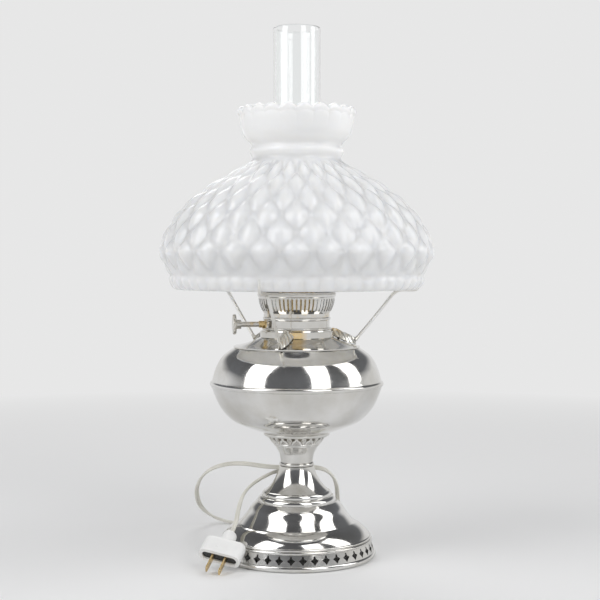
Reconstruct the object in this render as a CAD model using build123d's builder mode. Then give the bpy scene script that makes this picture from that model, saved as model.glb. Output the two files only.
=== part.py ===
from build123d import *
import math
import os

os.makedirs("parts", exist_ok=True)

# A nickel-plated oil table lamp with a round central draft, wired for an electric bulb.
# Millimetres, +Z up, the lamp's axis on Z, its foot on Z = 0 and its front towards -Y.

# Sheet and clearances
SHEET = 1.2
SEAT_CLEAR = 0.3
HOLE_CLEAR = 0.3
SHAFT_FIT = 0.05

# Foot: a pressed ring with a rolled edge, a pierced band and a double bead
BAND_FOOT_R = 77.8
FOOT_SWELL = 1.7
FOOT_WALL = 1.6
FOOT_BEAD_H = 5.5
BAND_TOP_R = 74.6
BAND_H = 10.5
DOUBLE_BEAD_H = 5.3
BEAD_SWELL = 1.0
CUT_COUNT = 42
CUT_LONG = 4.4
CUT_WING = 4.0
CUT_LOBE = 1.0
CUT_WAIST = 1.9
CUT_TURN = 4.6

# Bell: a skirt, a crease and a spun bell
SKIRT_STEP = 1.6
SKIRT_MID_R = 67.2
CREASE_R = 57.9
CREASE_H = 12.3
BELL_MID_R = 50.4
BELL_SHOULDER_R = 46.0
BELL_TOP_R = 40.6
BELL_H = 33.7
BELL_HOLE_R = 35.0

# Step ring and concave pedestal
STEP_R = 39.2
STEP_UPPER_R = 34.8
STEP_BORE_R = 29.0
STEP_H = 10.5
CONE_FOOT_R = 31.8
CONE_MID_R = 22.9
CONE_TOP_R = 16.9
CONE_H = 24.5
WAIST_R = 17.5
WAIST_H = 4.0
STEM_BORE_R = 12.0

# Cup that carries the font
CUP_NECK_R = 16.0
CUP_FLARE_R = 22.0
CUP_FLARE_H = 16.5
CUP_BEAD = 1.3
LEAF_FOOT_R = 23.6
LEAF_TOP_R = 29.6
LEAF_H = 8.0
CUP_RIM_R = 33.4
CUP_H = 30.0

# Font: two spun bowls and a bead where they meet
FONT_NECK_R = 34.0
FONT_FLOOR_R = 53.0
FONT_TURN_R = 66.5
FONT_WALL_R = 78.0
FONT_EDGE_R = 85.6
FONT_LOWER_H = 46.5
FONT_BAND_R = 87.0
FONT_BAND_H = 5.0
FONT_UPPER_R = 85.0
FONT_SIDE_R = 80.6
FONT_ROUND_R = 74.0
FONT_CROWN_R = 62.4
FONT_UPPER_H = 33.5

# Shoulder plate, collar and burner
SHOULDER_R = 63.2
SHOULDER_MID_R = 48.6
SHOULDER_TOP_R = 36.6
SHOULDER_H = 10.0
COLLAR_R = 34.7
COLLAR_BORE_R = 31.2
COLLAR_H = 8.0
BURNER_R = 33.0
BURNER_RIM_R = 34.6
BURNER_RIM_H = 1.6
BURNER_BORE_R = 30.6
BURNER_H = 9.0
KNURL_R = 34.0
KNURL_H = 3.5

# Gallery: a flared basket with upright slots and a shelf for the chimney
GALLERY_FOOT_R = 33.0
GALLERY_FLARE_R = 38.2
GALLERY_LIP_R = 39.4
GALLERY_SWELL = 1.3
GALLERY_H = 24.5
GALLERY_FOOT_H = 3.6
GALLERY_LIP_H = 5.0
GALLERY_WALL = 1.0
SHELF_BORE_R = 22.0
SHELF_H = 1.2
SLOT_COUNT = 56
SLOT_W = 1.7
SLOT_END = 1.2

# Glass chimney
CHIMNEY_BASE_R = 31.8
CHIMNEY_R = 23.4
CHIMNEY_WALL = 1.8
CHIMNEY_BASE_H = 36.0
CHIMNEY_NECK_H = 42.0
CHIMNEY_H = 282.0

# Opal glass shade: ribbed rim, quilted dome, beaded neck and crimped crown
SHADE_SEAT_Z = 267.0
SHADE_WALL = 4.6
QUILT_COUNT = 28
QUILT_DEPTH = 2.4
RIM_FOOT_R = 121.0
RIM_R = 127.0
RIM_H = 14.0
DOME_RADII = (127.4, 137.8, 132.6, 121.8, 106.0, 86.6, 64.0, 47.6)
DOME_RISES = (0.0, 22.0, 40.0, 59.0, 75.0, 90.0, 103.0, 113.0)
NECK_R = 44.5
NECK_WALL = 3.4
NECK_BEAD_R = 47.2
NECK_H = 16.0
CROWN_MID_R = 54.0
CROWN_R = 57.5
CROWN_H = 37.0
CROWN_LIP_H = 9.0
CRIMP_COUNT = 22
CRIMP_DEPTH = 3.6
CRIMP_W = 4.2

# Shade holder: a ring on the collar, three leaf feet and three wire arms
RING_WALL = 1.6
RING_H = 6.4
LEAF_W = 12.0
LEAF_TIP_W = 7.0
LEAF_TIP_R = 59.6
LEAF_THICK = 4.2
ARM_D = 3.2
ARM_TURN_R = 108.6
ARM_BEND = 9.0
HOOK_BEND = 3.6
FINGER_GAP = 1.0
FINGER_H = 13.5
ARM_AZIMUTHS = {"front": -105.0, "right": 15.0, "rear": 135.0}

# Switch knob on its shaft, where the wick was raised
KNOB_AZIMUTH = -172.0
KNOB_RISE = 5.0
KNOB_R = 10.0
KNOB_T = 3.2
KNOB_REACH = 61.0
KNOB_HUB_R = 4.6
KNOB_HUB_H = 5.0
SHAFT_R = 2.6
BUSHING_R = 3.4
BUSHING_OUT = 5.0

# Draft tube, pipe, socket and bulb
DRAFT_R = 18.5
DRAFT_WALL = 1.2
PIPE_R = 4.8
PIPE_BORE_R = 3.4
PIPE_TAIL = 12.0
NUT_ACROSS = 17.0
NUT_H = 6.0
WASHER_LAP = 3.0
WASHER_H = 1.6
CAP_H = 1.6
HOUSING_R = 17.0
HOUSING_H = 24.0
SOCKET_R = 18.0
SOCKET_WALL = 1.2
SOCKET_H = 34.0
LINER_WALL = 2.0
CONTACT_R = 5.0
CONTACT_H = 2.0
BULB_BASE_R = 13.0
BULB_BASE_H = 27.0
BULB_R = 15.5
BULB_H = 116.0
BULB_WALL = 1.0
FILAMENT_R = 1.4
FILAMENT_H = 62.0

# Filler on the rear of the shoulder
FILLER_AZIMUTH = 75.0
FILLER_REACH = 49.5
FILLER_R = 7.6
FILLER_BORE_R = 6.0
FILLER_H = 9.0
FILLER_CAP_R = 10.6
FILLER_CAP_H = 7.5
FILLER_CAP_TOP = 2.0

# Twin cord: leaves by a bushing at the back of the foot, leans over the back of the stem and
# comes down to a coil behind the foot, then round the stem again to its plug
CORD_D = 5.4
CORD_GAP = 0.6
STRAIGHT_RUN = 17.0
PLUG_RUN = 13.0
GROMMET_AZIMUTH = 110.2
GROMMET_Z = 10.8
GROMMET_R = 4.8
GROMMET_SHANK_R = 3.6
GROMMET_NOSE = 6.0
GROMMET_FLANGE = 0.9
COIL_X = 8.0
COIL_Y = 166.0
COIL_LIFT = 1.2
COIL_TURNS = 2.5
COIL_MEAN_R = 29.7
TIE_W = 5.0
TIE_T = 1.0
LEAD_POINTS = (
    (-46.0, 118.5, 6.4),
    (-60.0, 136.0, 3.4),
    (-78.0, 148.0, 3.2),
    (-94.5, 149.0, 7.5),
    (-106.5, 141.0, 18.0),
    (-111.0, 126.0, 33.5),
    (-109.0, 106.5, 51.5),
    (-98.0, 86.0, 69.0),
    (-80.0, 66.0, 80.0),
    (-57.0, 48.5, 86.0),
    (-33.0, 37.0, 88.5),
    (-8.0, 32.5, 89.0),
    (14.0, 33.5, 87.5),
    (28.5, 38.5, 82.0),
    (37.0, 46.5, 73.0),
    (41.5, 57.0, 61.5),
    (43.0, 70.0, 48.5),
    (43.8, 85.0, 35.0),
    (44.8, 102.0, 21.0),
    (45.6, 121.0, 9.6),
)
TAIL_POINTS = (
    (-29.6, 125.0, 12.4),
    (-28.4, 107.0, 20.0),
    (-25.5, 88.0, 33.0),
    (-21.5, 69.0, 48.5),
    (-17.5, 51.0, 62.5),
    (-14.5, 35.5, 73.3),
    (-15.5, 24.5, 79.3),
    (-21.5, 14.8, 81.5),
    (-33.0, 5.0, 77.5),
    (-45.0, -4.0, 71.5),
    (-53.5, -12.0, 63.0),
    (-57.5, -21.5, 51.0),
)
PLUG_NECK = (-63.5, -45.0, 30.5)
PLUG_AIM = (-0.3013, -0.7998, -0.5196)
PLUG_WIDE = (0.954, -0.237, -0.185)
PLUG_NECK_R = 6.9
PLUG_NECK_H = 12.0
PLUG_W = 41.0
PLUG_T = 15.0
PLUG_H = 22.0
PLUG_CORNER = 6.6
PLUG_ROUND = 5.0
PLUG_RECESS = 3.0
PLUG_LIP = 3.2
BLADE_W = 6.3
BLADE_T = 1.6
BLADE_H = 17.0
BLADE_PITCH = 12.7

# Sizes that follow from others
FOOT_R = BAND_FOOT_R + FOOT_SWELL
BAND_MID_R = (BAND_FOOT_R + BAND_TOP_R) / 2
BAND_REACH = 3 * FOOT_WALL + abs(BAND_FOOT_R - BAND_TOP_R)
SKIRT_R = BAND_TOP_R - SKIRT_STEP
GROMMET_OUT = max(FOOT_R, BAND_TOP_R) + GROMMET_FLANGE

# Levels of the stacked pieces
BELL_Z = FOOT_BEAD_H + BAND_H + DOUBLE_BEAD_H
STEP_Z = BELL_Z + BELL_H
CONE_Z = STEP_Z + STEP_H
WAIST_Z = CONE_Z + CONE_H
CUP_Z = WAIST_Z + WAIST_H
FONT_Z = CUP_Z + CUP_H
FONT_BAND_Z = FONT_Z + FONT_LOWER_H
FONT_UPPER_Z = FONT_BAND_Z + FONT_BAND_H
SHOULDER_Z = FONT_UPPER_Z + FONT_UPPER_H
COLLAR_Z = SHOULDER_Z + SHOULDER_H
BURNER_Z = COLLAR_Z + COLLAR_H
KNURL_Z = BURNER_Z + BURNER_H
GALLERY_Z = KNURL_Z + KNURL_H
CHIMNEY_Z = GALLERY_Z + GALLERY_FOOT_H + SHELF_H
CAP_Z = COLLAR_Z
HOUSING_Z = CAP_Z + CAP_H
SOCKET_Z = HOUSING_Z + HOUSING_H
SWITCH_Z = BURNER_Z + KNOB_RISE


def radial_plane(azimuth):
    """Upright plane through the lamp's axis: local X runs outwards and local Y upwards."""
    turn = math.radians(azimuth)
    out = (math.cos(turn), math.sin(turn), 0)
    side = (math.sin(turn), -math.cos(turn), 0)
    return Plane(origin=(0, 0, 0), x_dir=out, z_dir=side)


def spoke_plane(azimuth, reach, height):
    """Plane square to a spoke of the lamp, at a distance from the axis and a height."""
    turn = math.radians(azimuth)
    out = (math.cos(turn), math.sin(turn), 0)
    side = (-math.sin(turn), math.cos(turn), 0)
    place = (reach * out[0], reach * out[1], height)
    return Plane(origin=place, x_dir=side, z_dir=out)


def inset(line, wall):
    """A line of (radius, height) points moved towards the axis by a wall, square to the line."""
    moved = []
    for here in range(len(line)):
        before = line[max(here - 1, 0)]
        after = line[min(here + 1, len(line) - 1)]
        along = Vector(after[0] - before[0], after[1] - before[1]).normalized()
        moved.append((line[here][0] - wall * along.Y, line[here][1] + wall * along.X))
    return moved


def finish(piece, name):
    """Labels a finished piece and writes its STEP file."""
    piece.part.label = name
    export_step(piece.part, f"parts/{name}.step")


# Foot ring: rolled edge, pierced band and double bead, pressed from one strip
with BuildPart() as cut_tool:
    with BuildSketch(spoke_plane(0, BAND_MID_R, FOOT_BEAD_H + BAND_H / 2)):
        with BuildLine():
            Polyline(
                (0, CUT_LONG),
                (CUT_LOBE, CUT_LONG - CUT_LOBE),
                (CUT_LOBE, CUT_WAIST),
                (CUT_WING, 0),
                (CUT_WAIST, -CUT_WAIST),
                (0, -CUT_LONG),
                (-CUT_WAIST, -CUT_WAIST),
                (-CUT_WING, 0),
                (-CUT_LOBE, CUT_WAIST),
                (-CUT_LOBE, CUT_LONG - CUT_LOBE),
                close=True,
            )
        make_face()
    extrude(amount=BAND_REACH, both=True)

BAND_Z = FOOT_BEAD_H
DOUBLE_Z = FOOT_BEAD_H + BAND_H
with BuildPart() as foot_ring:
    with BuildSketch(Plane.XZ):
        with BuildLine():
            roll = ThreePointArc(
                (BAND_FOOT_R, 0), (FOOT_R, FOOT_BEAD_H / 2), (BAND_FOOT_R, BAND_Z)
            )
            band = Line(roll @ 1, (BAND_TOP_R, DOUBLE_Z))
            lower_bead = ThreePointArc(
                band @ 1,
                (BAND_TOP_R + BEAD_SWELL, DOUBLE_Z + DOUBLE_BEAD_H / 4),
                (BAND_TOP_R - BEAD_SWELL / 2, DOUBLE_Z + DOUBLE_BEAD_H / 2),
            )
            upper_bead = ThreePointArc(
                lower_bead @ 1,
                (BAND_TOP_R, DOUBLE_Z + 3 * DOUBLE_BEAD_H / 4),
                (SKIRT_R, BELL_Z),
            )
            Polyline(
                upper_bead @ 1,
                (SKIRT_R - 2 * FOOT_WALL, BELL_Z),
                (BAND_TOP_R - FOOT_WALL, DOUBLE_Z),
                (BAND_FOOT_R - FOOT_WALL, BAND_Z),
                (BAND_FOOT_R - FOOT_WALL, 0),
                roll @ 0,
            )
        make_face()
    revolve(axis=Axis.Z)
    with Locations((0, 0, 0)):
        with PolarLocations(0, CUT_COUNT, start_angle=CUT_TURN - 90):
            add(cut_tool.part, mode=Mode.SUBTRACT)
    with BuildSketch(spoke_plane(GROMMET_AZIMUTH, BAND_MID_R, GROMMET_Z)):
        Circle(GROMMET_SHANK_R + HOLE_CLEAR)
    extrude(amount=BAND_REACH, both=True, mode=Mode.SUBTRACT)
finish(foot_ring, "foot_ring")

# Base bell: skirt, crease and bell, spun from one sheet
with BuildPart() as base_bell:
    with BuildSketch(Plane.XZ):
        with BuildLine():
            crease = (CREASE_R, BELL_Z + CREASE_H)
            skirt = ThreePointArc(
                (SKIRT_R, BELL_Z), (SKIRT_MID_R, BELL_Z + CREASE_H * 0.56), crease
            )
            bell = Spline(
                crease,
                (BELL_MID_R, BELL_Z + CREASE_H + (BELL_H - CREASE_H) * 0.44),
                (BELL_SHOULDER_R, BELL_Z + CREASE_H + (BELL_H - CREASE_H) * 0.76),
                (BELL_TOP_R, STEP_Z),
            )
            outer = [
                (SKIRT_R, BELL_Z),
                (SKIRT_MID_R, BELL_Z + CREASE_H * 0.56),
                crease,
                (BELL_SHOULDER_R, BELL_Z + CREASE_H + (BELL_H - CREASE_H) * 0.76),
            ]
            inner = inset(outer, SHEET)
            Polyline(
                bell @ 1,
                (BELL_HOLE_R, STEP_Z),
                (BELL_HOLE_R, STEP_Z - SHEET),
                (BELL_TOP_R - SHEET, STEP_Z - SHEET),
                *reversed(inner[1:]),
                (SKIRT_R - 1.4 * SHEET, BELL_Z),
                skirt @ 0,
            )
        make_face()
    revolve(axis=Axis.Z)
finish(base_bell, "base_bell")

# Step ring of two beads
with BuildPart() as step_ring:
    with BuildSketch(Plane.XZ):
        with BuildLine():
            lower = ThreePointArc(
                (BELL_TOP_R - SHEET, STEP_Z),
                (STEP_R, STEP_Z + STEP_H * 0.24),
                (STEP_UPPER_R, STEP_Z + STEP_H * 0.5),
            )
            upper = ThreePointArc(
                lower @ 1, (STEP_UPPER_R, STEP_Z + STEP_H * 0.78), (CONE_FOOT_R, CONE_Z)
            )
            Polyline(upper @ 1, (STEP_BORE_R, CONE_Z), (STEP_BORE_R, STEP_Z), lower @ 0)
        make_face()
    revolve(axis=Axis.Z)
finish(step_ring, "step_ring")

# Pedestal: concave cone from the step ring up to the waist
with BuildPart() as pedestal:
    with BuildSketch(Plane.XZ):
        with BuildLine():
            sweep_in = ThreePointArc(
                (CONE_FOOT_R, CONE_Z),
                (CONE_MID_R, CONE_Z + CONE_H * 0.47),
                (CONE_TOP_R, WAIST_Z),
            )
            Polyline(
                sweep_in @ 1,
                (STEM_BORE_R, WAIST_Z),
                (CONE_MID_R - 3 * SHEET, CONE_Z + CONE_H * 0.35),
                (CONE_FOOT_R - 2 * SHEET, CONE_Z),
                sweep_in @ 0,
            )
        make_face()
    revolve(axis=Axis.Z)
finish(pedestal, "pedestal")

# Waist ring
with BuildPart() as waist_ring:
    with BuildSketch(Plane.XZ):
        with BuildLine():
            bead = ThreePointArc(
                (CUP_NECK_R, WAIST_Z), (WAIST_R, WAIST_Z + WAIST_H / 2), (CUP_NECK_R, CUP_Z)
            )
            Polyline(bead @ 1, (STEM_BORE_R, CUP_Z), (STEM_BORE_R, WAIST_Z), bead @ 0)
        make_face()
    revolve(axis=Axis.Z)
finish(waist_ring, "waist_ring")

# Cup: flared neck, two beads, the band that carries the leaves and the rim under the font
with BuildPart() as stem_cup:
    flare_z = CUP_Z + CUP_FLARE_H
    leaf_z = FONT_Z - LEAF_H - 2 * CUP_BEAD
    with BuildSketch(Plane.XZ):
        with BuildLine():
            neck = Spline(
                (CUP_NECK_R, CUP_Z),
                (CUP_NECK_R + (CUP_FLARE_R - CUP_NECK_R) * 0.25, CUP_Z + CUP_FLARE_H * 0.5),
                (CUP_FLARE_R, flare_z),
            )
            beads = ThreePointArc(
                neck @ 1,
                (CUP_FLARE_R + CUP_BEAD, (flare_z + leaf_z) / 2),
                (LEAF_FOOT_R, leaf_z),
            )
            band = Line(beads @ 1, (LEAF_TOP_R, leaf_z + LEAF_H))
            rim = ThreePointArc(
                band @ 1, (CUP_RIM_R, FONT_Z - CUP_BEAD), (CUP_RIM_R - CUP_BEAD / 2, FONT_Z)
            )
            Polyline(
                rim @ 1,
                (LEAF_TOP_R - SHEET, FONT_Z),
                (LEAF_FOOT_R - 2 * SHEET, leaf_z),
                (STEM_BORE_R, CUP_Z + CUP_FLARE_H / 2),
                (STEM_BORE_R, CUP_Z),
                neck @ 0,
            )
        make_face()
    revolve(axis=Axis.Z)
finish(stem_cup, "stem_cup")

# Lower bowl of the font
with BuildPart() as font_lower:
    with BuildSketch(Plane.XZ):
        with BuildLine():
            bowl_line = [
                (FONT_NECK_R, FONT_Z),
                (FONT_FLOOR_R, FONT_Z + FONT_LOWER_H * 0.15),
                (FONT_TURN_R, FONT_Z + FONT_LOWER_H * 0.3),
                (FONT_WALL_R, FONT_Z + FONT_LOWER_H * 0.6),
                (FONT_EDGE_R, FONT_BAND_Z),
            ]
            bowl = Spline(*bowl_line)
            inner = inset(bowl_line, 1.6 * SHEET)
            Polyline(
                bowl @ 1,
                (FONT_EDGE_R - 1.8 * SHEET, FONT_BAND_Z),
                *reversed(inner[1:4]),
                (FONT_NECK_R, FONT_Z + SHEET),
                (PIPE_R + HOLE_CLEAR, FONT_Z + SHEET),
                (PIPE_R + HOLE_CLEAR, FONT_Z),
                bowl @ 0,
            )
        make_face()
    revolve(axis=Axis.Z)
finish(font_lower, "font_lower")

# Bead where the two bowls meet
with BuildPart() as font_band:
    with BuildSketch(Plane.XZ):
        with BuildLine():
            bead = ThreePointArc(
                (FONT_EDGE_R, FONT_BAND_Z),
                (FONT_BAND_R, FONT_BAND_Z + FONT_BAND_H / 2),
                (FONT_UPPER_R, FONT_UPPER_Z),
            )
            Polyline(
                bead @ 1,
                (FONT_UPPER_R - 2 * SHEET, FONT_UPPER_Z),
                (FONT_EDGE_R - 2 * SHEET, FONT_BAND_Z),
                bead @ 0,
            )
        make_face()
    revolve(axis=Axis.Z)
finish(font_band, "font_band")

# Upper bowl of the font
with BuildPart() as font_upper:
    with BuildSketch(Plane.XZ):
        with BuildLine():
            dome_line = [
                (FONT_UPPER_R, FONT_UPPER_Z),
                (FONT_SIDE_R, FONT_UPPER_Z + FONT_UPPER_H * 0.42),
                (FONT_ROUND_R, FONT_UPPER_Z + FONT_UPPER_H * 0.74),
                (FONT_CROWN_R, SHOULDER_Z),
            ]
            dome = Spline(*dome_line)
            inner = inset(dome_line, 1.6 * SHEET)
            Polyline(
                dome @ 1,
                (FONT_CROWN_R - 4 * SHEET, SHOULDER_Z),
                (FONT_CROWN_R - 4 * SHEET, SHOULDER_Z - SHEET),
                *reversed(inner[1:3]),
                (FONT_UPPER_R - 1.8 * SHEET, FONT_UPPER_Z),
                dome @ 0,
            )
        make_face()
    revolve(axis=Axis.Z)
finish(font_upper, "font_upper")

# Filler neck's place on the rear of the shoulder
FILLER_TURN = math.radians(FILLER_AZIMUTH)
FILLER_X = FILLER_REACH * math.cos(FILLER_TURN)
FILLER_Y = FILLER_REACH * math.sin(FILLER_TURN)
FILLER_Z = COLLAR_Z - SHOULDER_H * 0.2

# Shoulder plate between the font and the collar
with BuildPart() as shoulder_plate:
    with BuildSketch(Plane.XZ):
        with BuildLine():
            slope = ThreePointArc(
                (SHOULDER_R, SHOULDER_Z + SHEET),
                (SHOULDER_MID_R, SHOULDER_Z + SHOULDER_H * 0.48),
                (SHOULDER_TOP_R, COLLAR_Z),
            )
            Polyline(
                slope @ 1,
                (COLLAR_BORE_R, COLLAR_Z),
                (COLLAR_BORE_R, COLLAR_Z - SHEET),
                (SHOULDER_TOP_R - SHEET, COLLAR_Z - SHEET),
                (SHOULDER_MID_R, SHOULDER_Z + SHOULDER_H * 0.48 - SHEET),
                (FONT_CROWN_R - 2 * SHEET, SHOULDER_Z),
                (SHOULDER_R, SHOULDER_Z),
                slope @ 0,
            )
        make_face()
    revolve(axis=Axis.Z)
    with Locations((FILLER_X, FILLER_Y, SHOULDER_Z)):
        Cylinder(
            FILLER_R + HOLE_CLEAR, SHOULDER_H,
            align=(Align.CENTER, Align.CENTER, Align.MIN), mode=Mode.SUBTRACT,
        )
finish(shoulder_plate, "shoulder_plate")

# Filler neck through the shoulder plate, and its cap
with BuildPart() as filler_neck:
    with BuildSketch(Plane.XY.offset(SHOULDER_Z)):
        with Locations((FILLER_X, FILLER_Y)):
            Circle(FILLER_R)
            Circle(FILLER_BORE_R, mode=Mode.SUBTRACT)
    extrude(amount=FILLER_Z + FILLER_H - SHOULDER_Z)
finish(filler_neck, "filler_neck")

with BuildPart() as filler_cap:
    cap_z = FILLER_Z + FILLER_H + FILLER_CAP_TOP
    with BuildSketch(Plane.XY.offset(cap_z - FILLER_CAP_H)):
        with Locations((FILLER_X, FILLER_Y)):
            Circle(FILLER_CAP_R)
    extrude(amount=FILLER_CAP_H)
    fillet(filler_cap.edges().group_by(Axis.Z)[-1], FILLER_CAP_TOP * 0.8)
    with BuildSketch(Plane.XY.offset(cap_z - FILLER_CAP_H)):
        with Locations((FILLER_X, FILLER_Y)):
            Circle(FILLER_R + SEAT_CLEAR)
    extrude(amount=FILLER_CAP_H - FILLER_CAP_TOP, mode=Mode.SUBTRACT)
finish(filler_cap, "filler_cap")

# Burner collar, burner band and knurled ring
with BuildPart() as burner_collar:
    with BuildSketch(Plane.XY.offset(COLLAR_Z)):
        Circle(COLLAR_R)
        Circle(COLLAR_BORE_R, mode=Mode.SUBTRACT)
    extrude(amount=COLLAR_H)
finish(burner_collar, "burner_collar")

with BuildPart() as burner_band:
    with BuildSketch(Plane.XZ):
        with BuildLine():
            rim = ThreePointArc(
                (BURNER_RIM_R, BURNER_Z),
                (BURNER_RIM_R + BURNER_RIM_H / 4, BURNER_Z + BURNER_RIM_H / 2),
                (BURNER_R, BURNER_Z + BURNER_RIM_H),
            )
            Polyline(
                rim @ 1,
                (BURNER_R, KNURL_Z),
                (BURNER_BORE_R, KNURL_Z),
                (BURNER_BORE_R, BURNER_Z),
                rim @ 0,
            )
        make_face()
    revolve(axis=Axis.Z)
    with BuildSketch(spoke_plane(KNOB_AZIMUTH, BURNER_BORE_R - SHEET, SWITCH_Z)):
        Circle(BUSHING_R + HOLE_CLEAR)
    extrude(amount=BURNER_RIM_R - BURNER_BORE_R + 3 * SHEET, mode=Mode.SUBTRACT)
finish(burner_band, "burner_band")

with BuildPart() as knurl_ring:
    with BuildSketch(Plane.XZ):
        with BuildLine():
            bead = ThreePointArc(
                (BURNER_R, KNURL_Z), (KNURL_R, KNURL_Z + KNURL_H / 2), (BURNER_R, GALLERY_Z)
            )
            Polyline(bead @ 1, (BURNER_BORE_R, GALLERY_Z), (BURNER_BORE_R, KNURL_Z), bead @ 0)
        make_face()
    revolve(axis=Axis.Z)
finish(knurl_ring, "knurl_ring")

# Gallery: flared basket with upright slots, and the shelf that the chimney stands on
SLOT_FOOT_Z = CHIMNEY_Z + SLOT_END
SLOT_TOP_Z = GALLERY_Z + GALLERY_H - GALLERY_LIP_H - SLOT_END
with BuildPart() as slot_tool:
    with BuildSketch(spoke_plane(0, GALLERY_FOOT_R - 3 * GALLERY_WALL, SLOT_FOOT_Z)):
        with Locations((0, (SLOT_TOP_Z - SLOT_FOOT_Z) / 2)):
            Rectangle(SLOT_W, SLOT_TOP_Z - SLOT_FOOT_Z)
    extrude(amount=GALLERY_LIP_R - GALLERY_FOOT_R + 6 * GALLERY_WALL)

with BuildPart() as gallery:
    lip_z = GALLERY_Z + GALLERY_H - GALLERY_LIP_H
    basket_z = GALLERY_Z + GALLERY_FOOT_H
    basket_mid_r = (GALLERY_FOOT_R + GALLERY_FLARE_R) / 2 + GALLERY_SWELL
    with BuildSketch(Plane.XZ):
        with BuildLine():
            foot = Line((GALLERY_FOOT_R, GALLERY_Z), (GALLERY_FOOT_R, basket_z))
            side = ThreePointArc(
                foot @ 1,
                (basket_mid_r, (basket_z + lip_z) / 2),
                (GALLERY_FLARE_R, lip_z),
            )
            lip = ThreePointArc(
                side @ 1,
                (GALLERY_LIP_R, lip_z + GALLERY_LIP_H / 2),
                (GALLERY_FLARE_R, lip_z + GALLERY_LIP_H),
            )
            Polyline(
                lip @ 1,
                (GALLERY_FLARE_R - GALLERY_WALL, lip_z + GALLERY_LIP_H),
                (GALLERY_FLARE_R - GALLERY_WALL, lip_z),
            )
            lining = ThreePointArc(
                (GALLERY_FLARE_R - GALLERY_WALL, lip_z),
                (basket_mid_r - GALLERY_WALL, (CHIMNEY_Z + lip_z) / 2),
                (GALLERY_FOOT_R - GALLERY_WALL / 2, CHIMNEY_Z),
            )
            Polyline(
                lining @ 1,
                (SHELF_BORE_R, CHIMNEY_Z),
                (SHELF_BORE_R, CHIMNEY_Z - SHELF_H),
                (GALLERY_FOOT_R - GALLERY_WALL, CHIMNEY_Z - SHELF_H),
                (GALLERY_FOOT_R - GALLERY_WALL, GALLERY_Z),
                foot @ 0,
            )
        make_face()
    revolve(axis=Axis.Z)
    with PolarLocations(0, SLOT_COUNT):
        add(slot_tool.part, mode=Mode.SUBTRACT)
finish(gallery, "gallery")

# Glass chimney: wide base with a drawn shoulder, and a straight tube with a fire-polished rim
CHIMNEY_SHOULDER_Z = CHIMNEY_Z + CHIMNEY_BASE_H
CHIMNEY_TUBE_Z = CHIMNEY_SHOULDER_Z + CHIMNEY_NECK_H
CHIMNEY_MID_R = (CHIMNEY_BASE_R + CHIMNEY_R) / 2
CHIMNEY_MID_Z = CHIMNEY_SHOULDER_Z + CHIMNEY_NECK_H / 2
with BuildPart() as chimney_base:
    with BuildSketch(Plane.XZ):
        with BuildLine():
            base = Line((CHIMNEY_BASE_R, CHIMNEY_Z), (CHIMNEY_BASE_R, CHIMNEY_SHOULDER_Z))
            drawn = Spline(
                base @ 1,
                (CHIMNEY_MID_R, CHIMNEY_MID_Z),
                (CHIMNEY_R, CHIMNEY_TUBE_Z),
                tangents=((0, 1), (0, 1)),
            )
            joint = Line(drawn @ 1, (CHIMNEY_R - CHIMNEY_WALL, CHIMNEY_TUBE_Z))
            widen = Spline(
                joint @ 1,
                (CHIMNEY_MID_R - CHIMNEY_WALL, CHIMNEY_MID_Z),
                (CHIMNEY_BASE_R - CHIMNEY_WALL, CHIMNEY_SHOULDER_Z),
                tangents=((0, -1), (0, -1)),
            )
            Polyline(widen @ 1, (CHIMNEY_BASE_R - CHIMNEY_WALL, CHIMNEY_Z), base @ 0)
        make_face()
    revolve(axis=Axis.Z)
finish(chimney_base, "chimney_base")

with BuildPart() as chimney_tube:
    rim_z = CHIMNEY_Z + CHIMNEY_H - CHIMNEY_WALL / 2
    with BuildSketch(Plane.XZ):
        with BuildLine():
            tube = Line((CHIMNEY_R, CHIMNEY_TUBE_Z), (CHIMNEY_R, rim_z))
            rim = ThreePointArc(
                tube @ 1,
                (CHIMNEY_R - CHIMNEY_WALL / 2, CHIMNEY_Z + CHIMNEY_H),
                (CHIMNEY_R - CHIMNEY_WALL, rim_z),
            )
            Polyline(rim @ 1, (CHIMNEY_R - CHIMNEY_WALL, CHIMNEY_TUBE_Z), tube @ 0)
        make_face()
    revolve(axis=Axis.Z)
finish(chimney_tube, "chimney_tube")

# Opal shade. The dome is quilted: each row of the net has raised diamond centres between the
# crossings of its grooves, half a diamond round from the rows beside it.
DOME_Z = SHADE_SEAT_Z + RIM_H
SHADE_NECK_Z = DOME_Z + DOME_RISES[-1]
CROWN_Z = SHADE_NECK_Z + NECK_H
CROWN_TOP_Z = CROWN_Z + CROWN_H


def quilt_point(row, step):
    """Corner of the quilted net: a raised diamond centre or a crossing of two grooves."""
    raised = (row + step) % 2 == 1
    radius = DOME_RADII[row] if raised else DOME_RADII[row] - QUILT_DEPTH
    turn = math.pi * step / QUILT_COUNT
    return Vector(radius * math.cos(turn), radius * math.sin(turn), DOME_Z + DOME_RISES[row])


def triangle(*corners):
    return Face(Wire.make_polygon(corners))


quilt_faces = []
for row in range(len(DOME_RADII) - 1):
    for step in range(2 * QUILT_COUNT):
        low_left = quilt_point(row, step)
        low_right = quilt_point(row, step + 1)
        high_left = quilt_point(row + 1, step)
        high_right = quilt_point(row + 1, step + 1)
        if (row + step) % 2 == 1:
            quilt_faces.append(triangle(low_left, low_right, high_left))
            quilt_faces.append(triangle(low_right, high_right, high_left))
        else:
            quilt_faces.append(triangle(low_left, low_right, high_right))
            quilt_faces.append(triangle(low_left, high_right, high_left))
for row in (0, len(DOME_RADII) - 1):
    ring = [quilt_point(row, step) for step in range(2 * QUILT_COUNT)]
    quilt_faces.append(Face(Wire.make_polygon(ring)))
quilted_dome = Solid(Shell(quilt_faces))

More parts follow.
